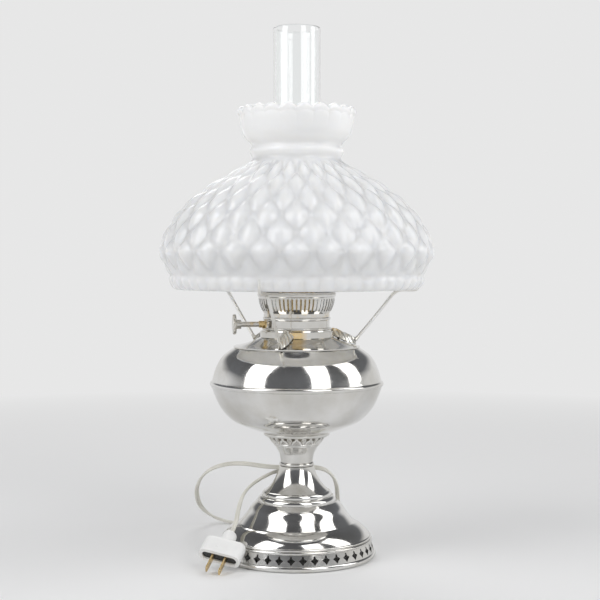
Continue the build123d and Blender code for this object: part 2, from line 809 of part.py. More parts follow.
with BuildPart() as crimp_tool:
    with BuildSketch(spoke_plane(0, NECK_R, CROWN_TOP_Z)):
        with BuildLine():
            Polyline(
                (-CRIMP_W / 2, CRIMP_DEPTH),
                (-CRIMP_W / 2, 0),
                (0, -CRIMP_DEPTH),
                (CRIMP_W / 2, 0),
                (CRIMP_W / 2, CRIMP_DEPTH),
                close=True,
            )
        make_face()
    extrude(amount=CROWN_R)

with BuildPart() as shade_dome:
    add(quilted_dome)
    with BuildSketch(Plane.XZ):
        with BuildLine():
            rim = Spline(
                (RIM_FOOT_R, SHADE_SEAT_Z),
                (RIM_R - (RIM_R - RIM_FOOT_R) * 0.4, SHADE_SEAT_Z + RIM_H * 0.4),
                (RIM_R, SHADE_SEAT_Z + RIM_H * 0.8),
                (RIM_R - QUILT_DEPTH / 2, DOME_Z),
            )
            Polyline(rim @ 1, (0, DOME_Z), (0, SHADE_SEAT_Z), rim @ 0)
        make_face()
    revolve(axis=Axis.Z)
    hollow = [(RIM_FOOT_R, SHADE_SEAT_Z)]
    hollow += [(r, DOME_Z + rise) for r, rise in zip(DOME_RADII[:-1], DOME_RISES[:-1])]
    hollow = inset(hollow, SHADE_WALL)
    with BuildSketch(Plane.XZ):
        with BuildLine():
            wall = Polyline(
                (RIM_FOOT_R - SHADE_WALL, SHADE_SEAT_Z),
                *hollow[1:],
                (NECK_R - NECK_WALL, SHADE_NECK_Z),
            )
            Polyline(wall @ 1, (0, SHADE_NECK_Z), (0, SHADE_SEAT_Z), wall @ 0)
        make_face()
    revolve(axis=Axis.Z, mode=Mode.SUBTRACT)
finish(shade_dome, "shade_dome")

with BuildPart() as shade_crown:
    lip_z = CROWN_TOP_Z - CROWN_LIP_H
    with BuildSketch(Plane.XZ):
        with BuildLine():
            neck = Spline(
                (DOME_RADII[-1] - QUILT_DEPTH, SHADE_NECK_Z),
                (NECK_R, SHADE_NECK_Z + NECK_H * 0.25),
                (NECK_BEAD_R, SHADE_NECK_Z + NECK_H * 0.62),
                (NECK_R, CROWN_Z),
                (CROWN_MID_R, CROWN_Z + CROWN_H * 0.34),
                (CROWN_R, lip_z),
            )
            Polyline(
                neck @ 1,
                (CROWN_R, CROWN_TOP_Z),
                (CROWN_R - NECK_WALL, CROWN_TOP_Z),
                (CROWN_R - NECK_WALL, lip_z),
                (CROWN_MID_R - NECK_WALL, CROWN_Z + CROWN_H * 0.34),
                (NECK_R - NECK_WALL, CROWN_Z),
                (NECK_R - NECK_WALL, SHADE_NECK_Z),
                neck @ 0,
            )
        make_face()
    revolve(axis=Axis.Z)
    with PolarLocations(0, CRIMP_COUNT):
        add(crimp_tool.part, mode=Mode.SUBTRACT)
finish(shade_crown, "shade_crown")

# Shade holder: ring round the collar
RING_BORE_R = COLLAR_R + SEAT_CLEAR
RING_R = RING_BORE_R + RING_WALL
with BuildPart() as holder_ring:
    with BuildSketch(Plane.XY.offset(COLLAR_Z)):
        Circle(RING_R)
        Circle(RING_BORE_R, mode=Mode.SUBTRACT)
    extrude(amount=RING_H)
finish(holder_ring, "holder_ring")

# Leaf feet: each leaves the ring, follows the shoulder plate down and ends in a sloping face
# that the wire arm stands on
TIP_Z = SHOULDER_Z + SHEET + LEAF_THICK + SEAT_CLEAR
HOOK_Z = SHADE_SEAT_Z - ARM_D / 2
FACE_HALF = ARM_D * 0.8
ARM_START = (LEAF_TIP_R + FACE_HALF, TIP_Z + FACE_HALF / 2)
ARM_TURN = (ARM_TURN_R, HOOK_Z)
RISE = math.atan2(ARM_TURN[1] - ARM_START[1], ARM_TURN[0] - ARM_START[0])
FACE_TOP = (ARM_START[0] - FACE_HALF * math.sin(RISE), ARM_START[1] + FACE_HALF * math.cos(RISE))
FACE_FOOT = (ARM_START[0] + FACE_HALF * math.sin(RISE), ARM_START[1] - FACE_HALF * math.cos(RISE))
for place, azimuth in ARM_AZIMUTHS.items():
    upright = radial_plane(azimuth)
    with BuildPart() as leaf_foot:
        with BuildSketch(upright):
            with BuildLine():
                Polyline(
                    (RING_R, COLLAR_Z + RING_H),
                    ((RING_R + LEAF_TIP_R) / 2, SHOULDER_Z + SHOULDER_H * 0.5 + 1.6 * LEAF_THICK),
                    FACE_TOP,
                    FACE_FOOT,
                    (FACE_FOOT[0] - SEAT_CLEAR, SHOULDER_Z + 2 * SHEET),
                    (SHOULDER_MID_R, SHOULDER_Z + SHOULDER_H * 0.48 + 2 * SEAT_CLEAR),
                    (RING_R, COLLAR_Z + SEAT_CLEAR),
                    close=True,
                )
            make_face()
        extrude(amount=LEAF_W / 2, both=True)
        leaf_mid = (RING_R + LEAF_TIP_R) / 2
        across = Plane(origin=(0, 0, COLLAR_Z), x_dir=upright.x_dir, z_dir=(0, 0, 1))
        with BuildSketch(across):
            with BuildLine():
                half_root = LEAF_TIP_W / 2
                left = Spline(
                    (RING_R - RING_WALL, half_root),
                    (leaf_mid, LEAF_W / 2),
                    (FACE_FOOT[0] + SEAT_CLEAR, LEAF_TIP_W / 2),
                )
                right = Spline(
                    (RING_R - RING_WALL, -half_root),
                    (leaf_mid, -LEAF_W / 2),
                    (FACE_FOOT[0] + SEAT_CLEAR, -LEAF_TIP_W / 2),
                )
                Line(left @ 0, right @ 0)
                Line(left @ 1, right @ 1)
            make_face()
        extrude(amount=3 * SHOULDER_H, both=True, mode=Mode.INTERSECT)
        # The foot's root follows the ring's round outside
        with BuildSketch(Plane.XY.offset(SHOULDER_Z)):
            Circle(RING_R)
        extrude(amount=3 * SHOULDER_H, mode=Mode.SUBTRACT)
    finish(leaf_foot, f"leaf_foot_{place}")

# Wire arms: up from the leaf foot, out under the shade's rim and up outside it as a finger
FINGER_R = RIM_R + FINGER_GAP + ARM_D / 2
for place, azimuth in ARM_AZIMUTHS.items():
    upright = radial_plane(azimuth)
    with BuildPart() as wire_arm:
        with BuildLine(upright):
            route = FilletPolyline(
                ARM_START,
                ARM_TURN,
                (FINGER_R, HOOK_Z),
                (FINGER_R, HOOK_Z + FINGER_H),
                radius=[ARM_BEND, HOOK_BEND],
            )
        with BuildSketch(Plane(origin=route @ 0, z_dir=route % 0)):
            Circle(ARM_D / 2)
        sweep()
    finish(wire_arm, f"wire_arm_{place}")

# Switch: housing in the burner, bushing in the band, shaft and knob
with BuildPart() as switch_housing:
    with BuildSketch(Plane.XY.offset(HOUSING_Z)):
        Circle(HOUSING_R)
        Circle(PIPE_R + HOLE_CLEAR, mode=Mode.SUBTRACT)
    extrude(amount=HOUSING_H)
    with BuildSketch(spoke_plane(KNOB_AZIMUTH, HOUSING_R * 0.6, SWITCH_Z)):
        Circle(SHAFT_R + SHAFT_FIT)
    extrude(amount=HOUSING_R, mode=Mode.SUBTRACT)
finish(switch_housing, "switch_housing")

with BuildPart() as switch_bushing:
    with BuildSketch(spoke_plane(KNOB_AZIMUTH, BURNER_BORE_R - BUSHING_OUT, SWITCH_Z)):
        Circle(BUSHING_R)
        Circle(SHAFT_R + SHAFT_FIT, mode=Mode.SUBTRACT)
    extrude(amount=BURNER_R - BURNER_BORE_R + 2 * BUSHING_OUT)
finish(switch_bushing, "switch_bushing")

with BuildPart() as switch_shaft:
    with BuildSketch(spoke_plane(KNOB_AZIMUTH, HOUSING_R * 0.6 + SEAT_CLEAR, SWITCH_Z)):
        Circle(SHAFT_R)
    extrude(amount=KNOB_REACH - KNOB_HUB_H - HOUSING_R * 0.6 - SEAT_CLEAR)
finish(switch_shaft, "switch_shaft")

with BuildPart() as switch_knob:
    with BuildSketch(spoke_plane(KNOB_AZIMUTH, KNOB_REACH - KNOB_HUB_H, SWITCH_Z)):
        Circle(KNOB_HUB_R)
    extrude(amount=KNOB_HUB_H)
    with BuildSketch(spoke_plane(KNOB_AZIMUTH, KNOB_REACH, SWITCH_Z)):
        Circle(KNOB_R)
    extrude(amount=KNOB_T)
    fillet(switch_knob.edges().filter_by(GeomType.CIRCLE).sort_by(SortBy.RADIUS)[-2:], KNOB_T / 4)
finish(switch_knob, "switch_knob")

# Draft tube inside the font, with the cap that carries the socket
with BuildPart() as draft_tube:
    with BuildSketch(Plane.XY.offset(FONT_Z + SHEET)):
        Circle(DRAFT_R)
        Circle(DRAFT_R - DRAFT_WALL, mode=Mode.SUBTRACT)
    extrude(amount=CAP_Z - FONT_Z - SHEET)
finish(draft_tube, "draft_tube")

with BuildPart() as draft_cap:
    with BuildSketch(Plane.XY.offset(CAP_Z)):
        Circle(DRAFT_R)
        Circle(PIPE_R + HOLE_CLEAR, mode=Mode.SUBTRACT)
    extrude(amount=CAP_H)
finish(draft_cap, "draft_cap")

# Threaded pipe that draws the whole lamp together, with its washer and nut under the bell
NUT_Z = STEP_Z - SHEET - WASHER_H - NUT_H
with BuildPart() as lamp_pipe:
    with BuildSketch(Plane.XY.offset(NUT_Z - PIPE_TAIL / 2)):
        Circle(PIPE_R)
        Circle(PIPE_BORE_R, mode=Mode.SUBTRACT)
    extrude(amount=HOUSING_Z + PIPE_TAIL - NUT_Z + PIPE_TAIL / 2)
finish(lamp_pipe, "lamp_pipe")

with BuildPart() as base_washer:
    with BuildSketch(Plane.XY.offset(NUT_Z + NUT_H)):
        Circle(BELL_HOLE_R + WASHER_LAP)
        Circle(PIPE_R + HOLE_CLEAR, mode=Mode.SUBTRACT)
    extrude(amount=WASHER_H)
finish(base_washer, "base_washer")

with BuildPart() as base_nut:
    with BuildSketch(Plane.XY.offset(NUT_Z)):
        RegularPolygon(NUT_ACROSS / 2, 6, major_radius=False)
        Circle(PIPE_R + SHAFT_FIT, mode=Mode.SUBTRACT)
    extrude(amount=NUT_H)
finish(base_nut, "base_nut")

# Socket: brass shell, fibre liner and centre contact
with BuildPart() as socket_shell:
    with BuildSketch(Plane.XY.offset(SOCKET_Z)):
        Circle(SOCKET_R)
        Circle(SOCKET_R - SOCKET_WALL, mode=Mode.SUBTRACT)
    extrude(amount=SOCKET_H)
finish(socket_shell, "socket_shell")

LINER_R = SOCKET_R - SOCKET_WALL - SEAT_CLEAR
with BuildPart() as socket_liner:
    with BuildSketch(Plane.XY.offset(SOCKET_Z)):
        Circle(LINER_R)
        Circle(LINER_R - LINER_WALL, mode=Mode.SUBTRACT)
    extrude(amount=SOCKET_H - LINER_WALL)
finish(socket_liner, "socket_liner")

with BuildPart() as socket_contact:
    with BuildSketch(Plane.XY.offset(SOCKET_Z)):
        Circle(LINER_R - LINER_WALL - HOLE_CLEAR)
    extrude(amount=CONTACT_H / 2)
    with BuildSketch(Plane.XY.offset(SOCKET_Z)):
        Circle(CONTACT_R)
    extrude(amount=CONTACT_H)
finish(socket_contact, "socket_contact")

# Bulb: screw base, tubular glass and its stem with the filament
BULB_Z = SOCKET_Z + CONTACT_H
BULB_GLASS_Z = BULB_Z + BULB_BASE_H
with BuildPart() as bulb_base:
    with BuildSketch(Plane.XZ):
        with BuildLine():
            Polyline(
                (0, BULB_Z),
                (CONTACT_R, BULB_Z),
                (BULB_BASE_R, BULB_Z + CONTACT_R),
                (BULB_BASE_R, BULB_GLASS_Z),
                (0, BULB_GLASS_Z),
                close=True,
            )
        make_face()
    revolve(axis=Axis.Z)
finish(bulb_base, "bulb_base")

with BuildPart() as bulb_glass:
    with BuildSketch(Plane.XZ):
        with BuildLine():
            dome_z = BULB_GLASS_Z + BULB_H - BULB_R
            swell_z = BULB_GLASS_Z + 2 * BULB_WALL + BULB_R
            swell = Spline(
                (BULB_BASE_R, BULB_GLASS_Z), (BULB_R, swell_z), tangents=((0, 1), (0, 1))
            )
            side = Line(swell @ 1, (BULB_R, dome_z))
            dome = CenterArc((0, dome_z), BULB_R, 0, 90)
            top = Line(dome @ 1, (0, dome_z + BULB_R - BULB_WALL))
            inside = CenterArc((0, dome_z), BULB_R - BULB_WALL, 90, -90)
            Polyline(
                inside @ 1,
                (BULB_R - BULB_WALL, swell_z),
                (BULB_BASE_R - BULB_WALL, BULB_GLASS_Z),
                swell @ 0,
            )
        make_face()
    revolve(axis=Axis.Z)
finish(bulb_glass, "bulb_glass")

with BuildPart() as bulb_filament:
    with BuildSketch(Plane.XY.offset(BULB_GLASS_Z)):
        Circle(2 * FILAMENT_R)
    extrude(amount=FILAMENT_H / 2)
    with BuildSketch(Plane.XY.offset(BULB_GLASS_Z + FILAMENT_H / 2)):
        Circle(FILAMENT_R)
    extrude(amount=FILAMENT_H / 2)
finish(bulb_filament, "bulb_filament")

# Cord bushing in the pierced band, its flange cut to the band's slope
with BuildPart() as cord_bushing:
    with BuildSketch(spoke_plane(GROMMET_AZIMUTH, GROMMET_OUT, GROMMET_Z)):
        Circle(GROMMET_R)
    extrude(amount=-(GROMMET_OUT - BAND_MID_R + BAND_REACH))
    with BuildSketch(Plane.XZ):
        with BuildLine():
            lean = (BAND_FOOT_R - BAND_TOP_R) / BAND_H
            Polyline(
                (0, 0),
                (BAND_FOOT_R + lean * BAND_Z + SHAFT_FIT, 0),
                (BAND_TOP_R - lean * DOUBLE_BEAD_H + SHAFT_FIT, BELL_Z),
                (0, BELL_Z),
                close=True,
            )
        make_face()
    revolve(axis=Axis.Z, mode=Mode.SUBTRACT)
    with BuildSketch(spoke_plane(GROMMET_AZIMUTH, GROMMET_OUT + GROMMET_NOSE, GROMMET_Z)):
        Circle(GROMMET_SHANK_R)
    extrude(amount=-(GROMMET_OUT + GROMMET_NOSE - BAND_MID_R + BAND_REACH))
finish(cord_bushing, "cord_bushing")


def cord_radii(points):
    """Bend radius at each inner point of a cord's route: as large as its two runs allow."""
    radii = []
    for before, here, after in zip(points, points[1:], points[2:]):
        run_in = Vector(*here) - Vector(*before)
        run_out = Vector(*after) - Vector(*here)
        turn = math.radians(run_in.get_angle(run_out))
        shorter = min(run_in.length, run_out.length)
        radii.append(0.45 * shorter / math.tan(turn / 2))
    return radii


def cord_tube(points):
    """Route of a free stretch of the cord: straight runs joined by tangent arcs."""
    return FilletPolyline(*points, radius=cord_radii(points))


# Coil: in on the lower layer, up a layer where it reverses, out on the upper layer
COIL_PITCH = CORD_D + CORD_GAP
COIL_LOW_Z = COIL_LIFT + CORD_D / 2
COIL_REVERSE = 0.5
COIL_MIDDLE = COIL_TURNS + COIL_REVERSE / 2
COIL_LAPS = 2 * COIL_MIDDLE
COIL_INNER_R = COIL_MEAN_R - COIL_PITCH * COIL_MIDDLE / 2
COIL_OUTER_R = COIL_MEAN_R + COIL_PITCH * COIL_MIDDLE / 2


def smooth_step(share):
    return share * share * (3 - 2 * share)


def coil_point(lap):
    """Point of the coil's centre line after a number of laps, with the laps turning to the left."""
    radius = COIL_INNER_R + COIL_PITCH * abs(lap - COIL_MIDDLE)
    climb = (lap - COIL_TURNS) / COIL_REVERSE
    layer = smooth_step(min(max(climb, 0), 1))
    turn = 2 * math.pi * lap
    return Vector(
        COIL_X + radius * math.cos(turn),
        COIL_Y + radius * math.sin(turn),
        COIL_LOW_Z + COIL_PITCH * layer,
    )


def coil_heading(lap):
    """Direction of the coil's centre line at a lap, level at both ends of the climb."""
    small = 1e-3
    before = coil_point(max(lap - small, 0))
    after = coil_point(min(lap + small, COIL_LAPS))
    return (after - before).normalized()


# The ends leave the coil straight, along the rim of its turns
COIL_IN = coil_point(0)
COIL_IN_DIR = Vector(0, 1, 0)
COIL_OUT = coil_point(COIL_LAPS)
COIL_OUT_DIR = Vector(0, -1, 0)
QUARTERS = round(4 * COIL_LAPS)
coil_stations = []
for quarter in range(QUARTERS + 1):
    lap = quarter / 4
    heading = coil_heading(lap)
    if quarter == 0:
        heading = COIL_IN_DIR
    if quarter == QUARTERS:
        heading = COIL_OUT_DIR
    coil_stations.append((coil_point(lap), heading))

with BuildPart() as cord_coil:
    with BuildLine() as coil_line:
        Line(COIL_IN - COIL_IN_DIR * CORD_D, COIL_IN)
        for (start, start_dir), (end, end_dir) in zip(coil_stations, coil_stations[1:]):
            # Two arcs that meet in one tangent between two stations of the coil
            chord = end - start
            both = start_dir + end_dir
            spread = 2 * (1 - start_dir.dot(end_dir))
            lean = chord.dot(both)
            reach = (-lean + math.sqrt(lean**2 + spread * chord.dot(chord))) / spread
            corner_in = start + start_dir * reach
            corner_out = end - end_dir * reach
            meet = (corner_in + corner_out) / 2
            TangentArc(start, meet, tangent=start_dir)
            TangentArc(meet, end, tangent=corner_out - corner_in)
        Line(COIL_OUT, COIL_OUT + COIL_OUT_DIR * CORD_D)
    with BuildSketch(Plane(origin=COIL_IN - COIL_IN_DIR * CORD_D, z_dir=COIL_IN_DIR)):
        Circle(CORD_D / 2)
    sweep(path=coil_line.wires()[0])
coil_length = coil_line.wires()[0].length
samples = [coil_point(COIL_LAPS * k / 360) for k in range(361)]
least = min(
    (samples[i] - samples[j]).length
    for i in range(0, 361, 2)
    for j in range(i + 40, 361, 2)
)
print("coil length", round(coil_length), "least gap to itself", round(least - CORD_D, 2))
finish(cord_coil, "cord_coil")

# Tie round the coil's turns on its far side
TIE_IN = COIL_INNER_R - CORD_D / 2 - CORD_GAP
TIE_OUT = COIL_OUTER_R + CORD_D / 2 + CORD_GAP
TIE_TOP = COIL_LIFT + 2 * CORD_D + 2 * CORD_GAP
with BuildPart() as coil_tie:
    with BuildSketch(Plane(origin=(COIL_X, COIL_Y, 0), x_dir=(0, 1, 0), z_dir=(1, 0, 0))):
        with BuildLine():
            Polyline(
                (TIE_IN - TIE_T, 0),
                (TIE_OUT + TIE_T, 0),
                (TIE_OUT + TIE_T, TIE_TOP + TIE_T),
                (TIE_IN - TIE_T, TIE_TOP + TIE_T),
                close=True,
            )
        make_face()
        with BuildLine():
            Polyline(
                (TIE_IN, TIE_T), (TIE_OUT, TIE_T), (TIE_OUT, TIE_TOP), (TIE_IN, TIE_TOP), close=True
            )
        make_face(mode=Mode.SUBTRACT)
    extrude(amount=TIE_W / 2, both=True)
finish(coil_tie, "coil_tie")

# Free stretches of the cord
exit_plane = spoke_plane(GROMMET_AZIMUTH, GROMMET_OUT + GROMMET_NOSE, GROMMET_Z)
lead_start = exit_plane.origin
lead_out = lead_start + exit_plane.z_dir * STRAIGHT_RUN
lead_end = COIL_IN - COIL_IN_DIR * CORD_D
lead_in = lead_end - COIL_IN_DIR * STRAIGHT_RUN
lead_route = [tuple(lead_start), tuple(lead_out), *LEAD_POINTS, tuple(lead_in), tuple(lead_end)]
plug_plane = Plane(origin=PLUG_NECK, x_dir=PLUG_WIDE, z_dir=PLUG_AIM)
tail_start = COIL_OUT + COIL_OUT_DIR * CORD_D
tail_out = tail_start + COIL_OUT_DIR * STRAIGHT_RUN
tail_in = plug_plane.origin - plug_plane.z_dir * PLUG_RUN
tail_route = [tuple(tail_start), tuple(tail_out), *TAIL_POINTS, tuple(tail_in), PLUG_NECK]
cord_length = coil_length
for name, points in (("cord_lead", lead_route), ("cord_tail", tail_route)):
    with BuildPart() as stretch:
        with BuildLine() as line:
            cord_tube(points)
        path = line.wires()[0]
        with BuildSketch(Plane(origin=path @ 0, z_dir=path % 0)):
            Circle(CORD_D / 2)
        sweep(path=path)
    cord_length += path.length
    finish(stretch, name)
print("cord length in all", round(cord_length))

# Plug: body with a round neck and a recessed face, its insulator and two blades
PLUG_FACE = PLUG_NECK_H + PLUG_H
PLUG_AXIS = Axis(PLUG_NECK, PLUG_AIM)
with BuildPart() as plug_body:
    with BuildSketch(plug_plane.offset(PLUG_NECK_H)):
        RectangleRounded(PLUG_W, PLUG_T, PLUG_CORNER)
    extrude(amount=PLUG_H)
    fillet(plug_body.faces().sort_by(PLUG_AXIS)[0].edges(), radius=PLUG_ROUND)
    with BuildSketch(plug_plane):
        Circle(PLUG_NECK_R)
    extrude(amount=PLUG_NECK_H + PLUG_ROUND)
    fillet(plug_body.edges().sort_by(PLUG_AXIS)[0], radius=PLUG_NECK_R - CORD_D / 2)
    with BuildSketch(plug_plane.offset(PLUG_FACE - PLUG_RECESS)):
        SlotOverall(PLUG_W - 2 * PLUG_LIP, PLUG_T - 2 * PLUG_LIP)
    extrude(amount=PLUG_RECESS, mode=Mode.SUBTRACT)
finish(plug_body, "plug_body")

with BuildPart() as plug_insulator:
    with BuildSketch(plug_plane.offset(PLUG_FACE - PLUG_RECESS)):
        SlotOverall(PLUG_W - 2 * PLUG_LIP - SEAT_CLEAR, PLUG_T - 2 * PLUG_LIP - SEAT_CLEAR)
    extrude(amount=PLUG_RECESS / 2)
finish(plug_insulator, "plug_insulator")

with BuildPart() as plug_blades:
    with BuildSketch(plug_plane.offset(PLUG_FACE - PLUG_RECESS / 2)):
        with GridLocations(BLADE_PITCH, 0, 2, 1):
            Rectangle(BLADE_T, BLADE_W)
    extrude(amount=BLADE_H + PLUG_RECESS / 2)
finish(plug_blades, "plug_blades")
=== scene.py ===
import math

import bmesh
import bpy
from mathutils import Matrix, Vector


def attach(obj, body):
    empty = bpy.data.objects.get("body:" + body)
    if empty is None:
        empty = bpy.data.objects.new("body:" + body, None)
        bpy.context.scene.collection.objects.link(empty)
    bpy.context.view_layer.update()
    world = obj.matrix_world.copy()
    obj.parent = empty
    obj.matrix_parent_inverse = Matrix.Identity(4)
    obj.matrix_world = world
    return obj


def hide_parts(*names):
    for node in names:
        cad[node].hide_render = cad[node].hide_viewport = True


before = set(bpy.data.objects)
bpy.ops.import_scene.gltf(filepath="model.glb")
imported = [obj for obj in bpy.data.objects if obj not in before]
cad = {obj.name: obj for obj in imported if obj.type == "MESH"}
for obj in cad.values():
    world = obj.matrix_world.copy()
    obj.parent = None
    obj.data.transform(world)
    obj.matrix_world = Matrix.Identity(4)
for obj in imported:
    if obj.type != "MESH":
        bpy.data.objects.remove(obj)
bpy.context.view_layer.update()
scene = bpy.context.scene

# The lamp is written in millimetres, and the studio round it in metres
MM = 0.001
ROUND = 2 * math.pi
QUARTER = math.radians(90)


# Shader nodes

def blank(name):
    """A new material with its node tree, its Principled shader and Object coordinates."""
    made = bpy.data.materials.new(name)
    made.use_nodes = True
    tree = made.node_tree
    shader = tree.nodes["Principled BSDF"]
    coords = tree.nodes.new("ShaderNodeTexCoord").outputs["Object"]
    return made, tree, shader, coords


def noise(tree, vector, scale, detail=4.0, roughness=0.55):
    node = tree.nodes.new("ShaderNodeTexNoise")
    node.inputs["Scale"].default_value = scale
    node.inputs["Detail"].default_value = detail
    node.inputs["Roughness"].default_value = roughness
    tree.links.new(vector, node.inputs["Vector"])
    return node.outputs["Fac"]


def ramp(tree, factor, stops):
    node = tree.nodes.new("ShaderNodeValToRGB")
    band = node.color_ramp
    while len(band.elements) < len(stops):
        band.elements.new(0.5)
    for element, (place, colour) in zip(band.elements, stops):
        element.position = place
        element.color = (*colour, 1)
    tree.links.new(factor, node.inputs["Fac"])
    return node.outputs["Color"]


def spread(tree, factor, low, high, start=0.3, end=0.7):
    """Runs from low to high while the factor goes from start to end."""
    node = tree.nodes.new("ShaderNodeMapRange")
    node.inputs["From Min"].default_value = start
    node.inputs["From Max"].default_value = end
    node.inputs["To Min"].default_value = low
    node.inputs["To Max"].default_value = high
    tree.links.new(factor, node.inputs["Value"])
    return node.outputs["Result"]


def bump(tree, shader, height, strength, distance):
    node = tree.nodes.new("ShaderNodeBump")
    node.inputs["Strength"].default_value = strength
    node.inputs["Distance"].default_value = distance
    tree.links.new(height, node.inputs["Height"])
    tree.links.new(node.outputs["Normal"], shader.inputs["Normal"])


def scaled(tree, vector, scale):
    node = tree.nodes.new("ShaderNodeMapping")
    node.inputs["Scale"].default_value = scale
    tree.links.new(vector, node.inputs["Vector"])
    return node.outputs["Vector"]


def reckon(tree, operation, *values):
    """The sum, product or the like of one value or two."""
    node = tree.nodes.new("ShaderNodeMath")
    node.operation = operation
    for value, entry in zip(values, node.inputs):
        tree.links.new(value, entry)
    return node.outputs[0]


def blend(tree, factor, low, high):
    node = tree.nodes.new("ShaderNodeMix")
    node.data_type = "RGBA"
    tree.links.new(factor, node.inputs["Factor"])
    tree.links.new(low, node.inputs["A"])
    tree.links.new(high, node.inputs["B"])
    return node.outputs["Result"]


def apart(tree, vector):
    """The X, Y and Z of a vector, by name."""
    split = tree.nodes.new("ShaderNodeSeparateXYZ")
    tree.links.new(vector, split.inputs["Vector"])
    return split.outputs


def round_the_axis(tree, vector):
    """Coordinates of distance from the lamp's axis and height, for marks left by turning."""
    place = apart(tree, vector)
    squares = [reckon(tree, "MULTIPLY", place[axis], place[axis]) for axis in "XY"]
    join = tree.nodes.new("ShaderNodeCombineXYZ")
    tree.links.new(reckon(tree, "SQRT", reckon(tree, "ADD", *squares)), join.inputs["X"])
    tree.links.new(place["Z"], join.inputs["Z"])
    return join.outputs["Vector"]


FULL_SHARE = 0.35


def near_place(tree, coords, place, reach):
    """One at a place on the lamp, in millimetres, and nothing beyond its reach."""
    node = tree.nodes.new("ShaderNodeVectorMath")
    node.operation = "DISTANCE"
    node.inputs[1].default_value = [c * MM for c in place]
    tree.links.new(coords, node.inputs[0])
    return spread(tree, node.outputs["Value"], 1.0, 0.0, reach * FULL_SHARE * MM, reach * MM)


def near_level(tree, coords, level, reach):
    """One up to a height on the lamp, in millimetres, and nothing beyond its reach above it."""
    return spread(tree, apart(tree, coords)["Z"], 1.0, 0.0, level * MM, (level + reach) * MM)


# Finishes

BRASS_UNDER_PLATE = [(0.35, (0.80, 0.58, 0.26)), (0.7, (0.62, 0.44, 0.20))]
FINE_GRAIN = 0.3 * MM


def nickel_plate(name, bright=(0.75, 0.745, 0.73), aged=(0.63, 0.615, 0.58), haze=(0.05, 0.15),
                 turned_marks=True, worn_spot=None, worn_level=None, wear=(0.44, 0.60), hollows=None):
    """Old nickel plate: softly clouded, finely scratched, worn to brass where it was handled, and painted
    shade in hollows.
    """
    made, tree, shader, coords = blank(name)
    shader.inputs["Metallic"].default_value = 1.0
    tint = ramp(tree, noise(tree, coords, scale=26, detail=5), [(0.36, bright), (0.64, aged)])
    worn = None
    if worn_spot:
        worn = near_place(tree, coords, *worn_spot)
    elif worn_level:
        worn = near_level(tree, coords, *worn_level)
    if worn is not None:
        brass = ramp(tree, noise(tree, coords, scale=90), BRASS_UNDER_PLATE)
        patches = spread(tree, noise(tree, coords, scale=150, detail=5, roughness=0.65), 0.0, 0.85, *wear)
        tint = blend(tree, reckon(tree, "MULTIPLY", worn, patches), tint, brass)
    # Painted shade: where the pressed relief is low, the plate's tint goes dark towards the hollows colour
    if hollows:
        relief = tree.nodes.new("ShaderNodeAttribute")
        relief.attribute_name = "relief"
        darker = tuple(0.6 * c for c in hollows)
        painted_hollow_shade = ramp(tree, noise(tree, coords, scale=200), [(0.3, darker), (0.7, hollows)])
        raised = spread(tree, relief.outputs["Fac"], 0.0, 1.0, start=0.05, end=0.55)
        tint = blend(tree, raised, painted_hollow_shade, tint)
    tree.links.new(tint, shader.inputs["Base Color"])
    clouds = noise(tree, coords, scale=75, detail=6, roughness=0.7)
    tree.links.new(spread(tree, clouds, *haze), shader.inputs["Roughness"])
    if turned_marks:
        marks = noise(tree, round_the_axis(tree, coords), scale=650, detail=3, roughness=0.6)
        bump(tree, shader, marks, strength=0.035, distance=FINE_GRAIN)
    else:
        grain = noise(tree, coords, scale=420, detail=3, roughness=0.6)
        bump(tree, shader, grain, strength=0.10, distance=FINE_GRAIN)
    return made


def bare_metal(name, fresh, dull, haze, tint_scale, haze_scale):
    """Unplated metal: two close shades and an uneven sheen."""
    made, tree, shader, coords = blank(name)
    shader.inputs["Metallic"].default_value = 1.0
    tint = ramp(tree, noise(tree, coords, tint_scale), [(0.35, fresh), (0.7, dull)])
    tree.links.new(tint, shader.inputs["Base Color"])
    clouds = noise(tree, coords, haze_scale, detail=5)
    tree.links.new(spread(tree, clouds, *haze), shader.inputs["Roughness"])
    return made


def opal_glass(name):
    """Pressed white opal glass: glossy, a little uneven, letting light through its wall."""
    made, tree, shader, coords = blank(name)
    streaks = noise(tree, coords, scale=14, detail=3)
    tint = ramp(tree, streaks, [(0.35, (0.935, 0.928, 0.90)), (0.65, (0.96, 0.952, 0.925))])
    tree.links.new(tint, shader.inputs["Base Color"])
    tree.links.new(spread(tree, noise(tree, coords, scale=70), 0.14, 0.26), shader.inputs["Roughness"])
    shader.inputs["Subsurface Weight"].default_value = 1.0
    shader.inputs["Subsurface Radius"].default_value = (1.0, 0.95, 0.87)
    shader.inputs["Subsurface Scale"].default_value = 0.018
    shader.inputs["Coat Weight"].default_value = 0.15
    shader.inputs["Coat Roughness"].default_value = 0.1
    bump(tree, shader, noise(tree, coords, scale=160, detail=3), strength=0.10, distance=0.4 * MM)
    return made


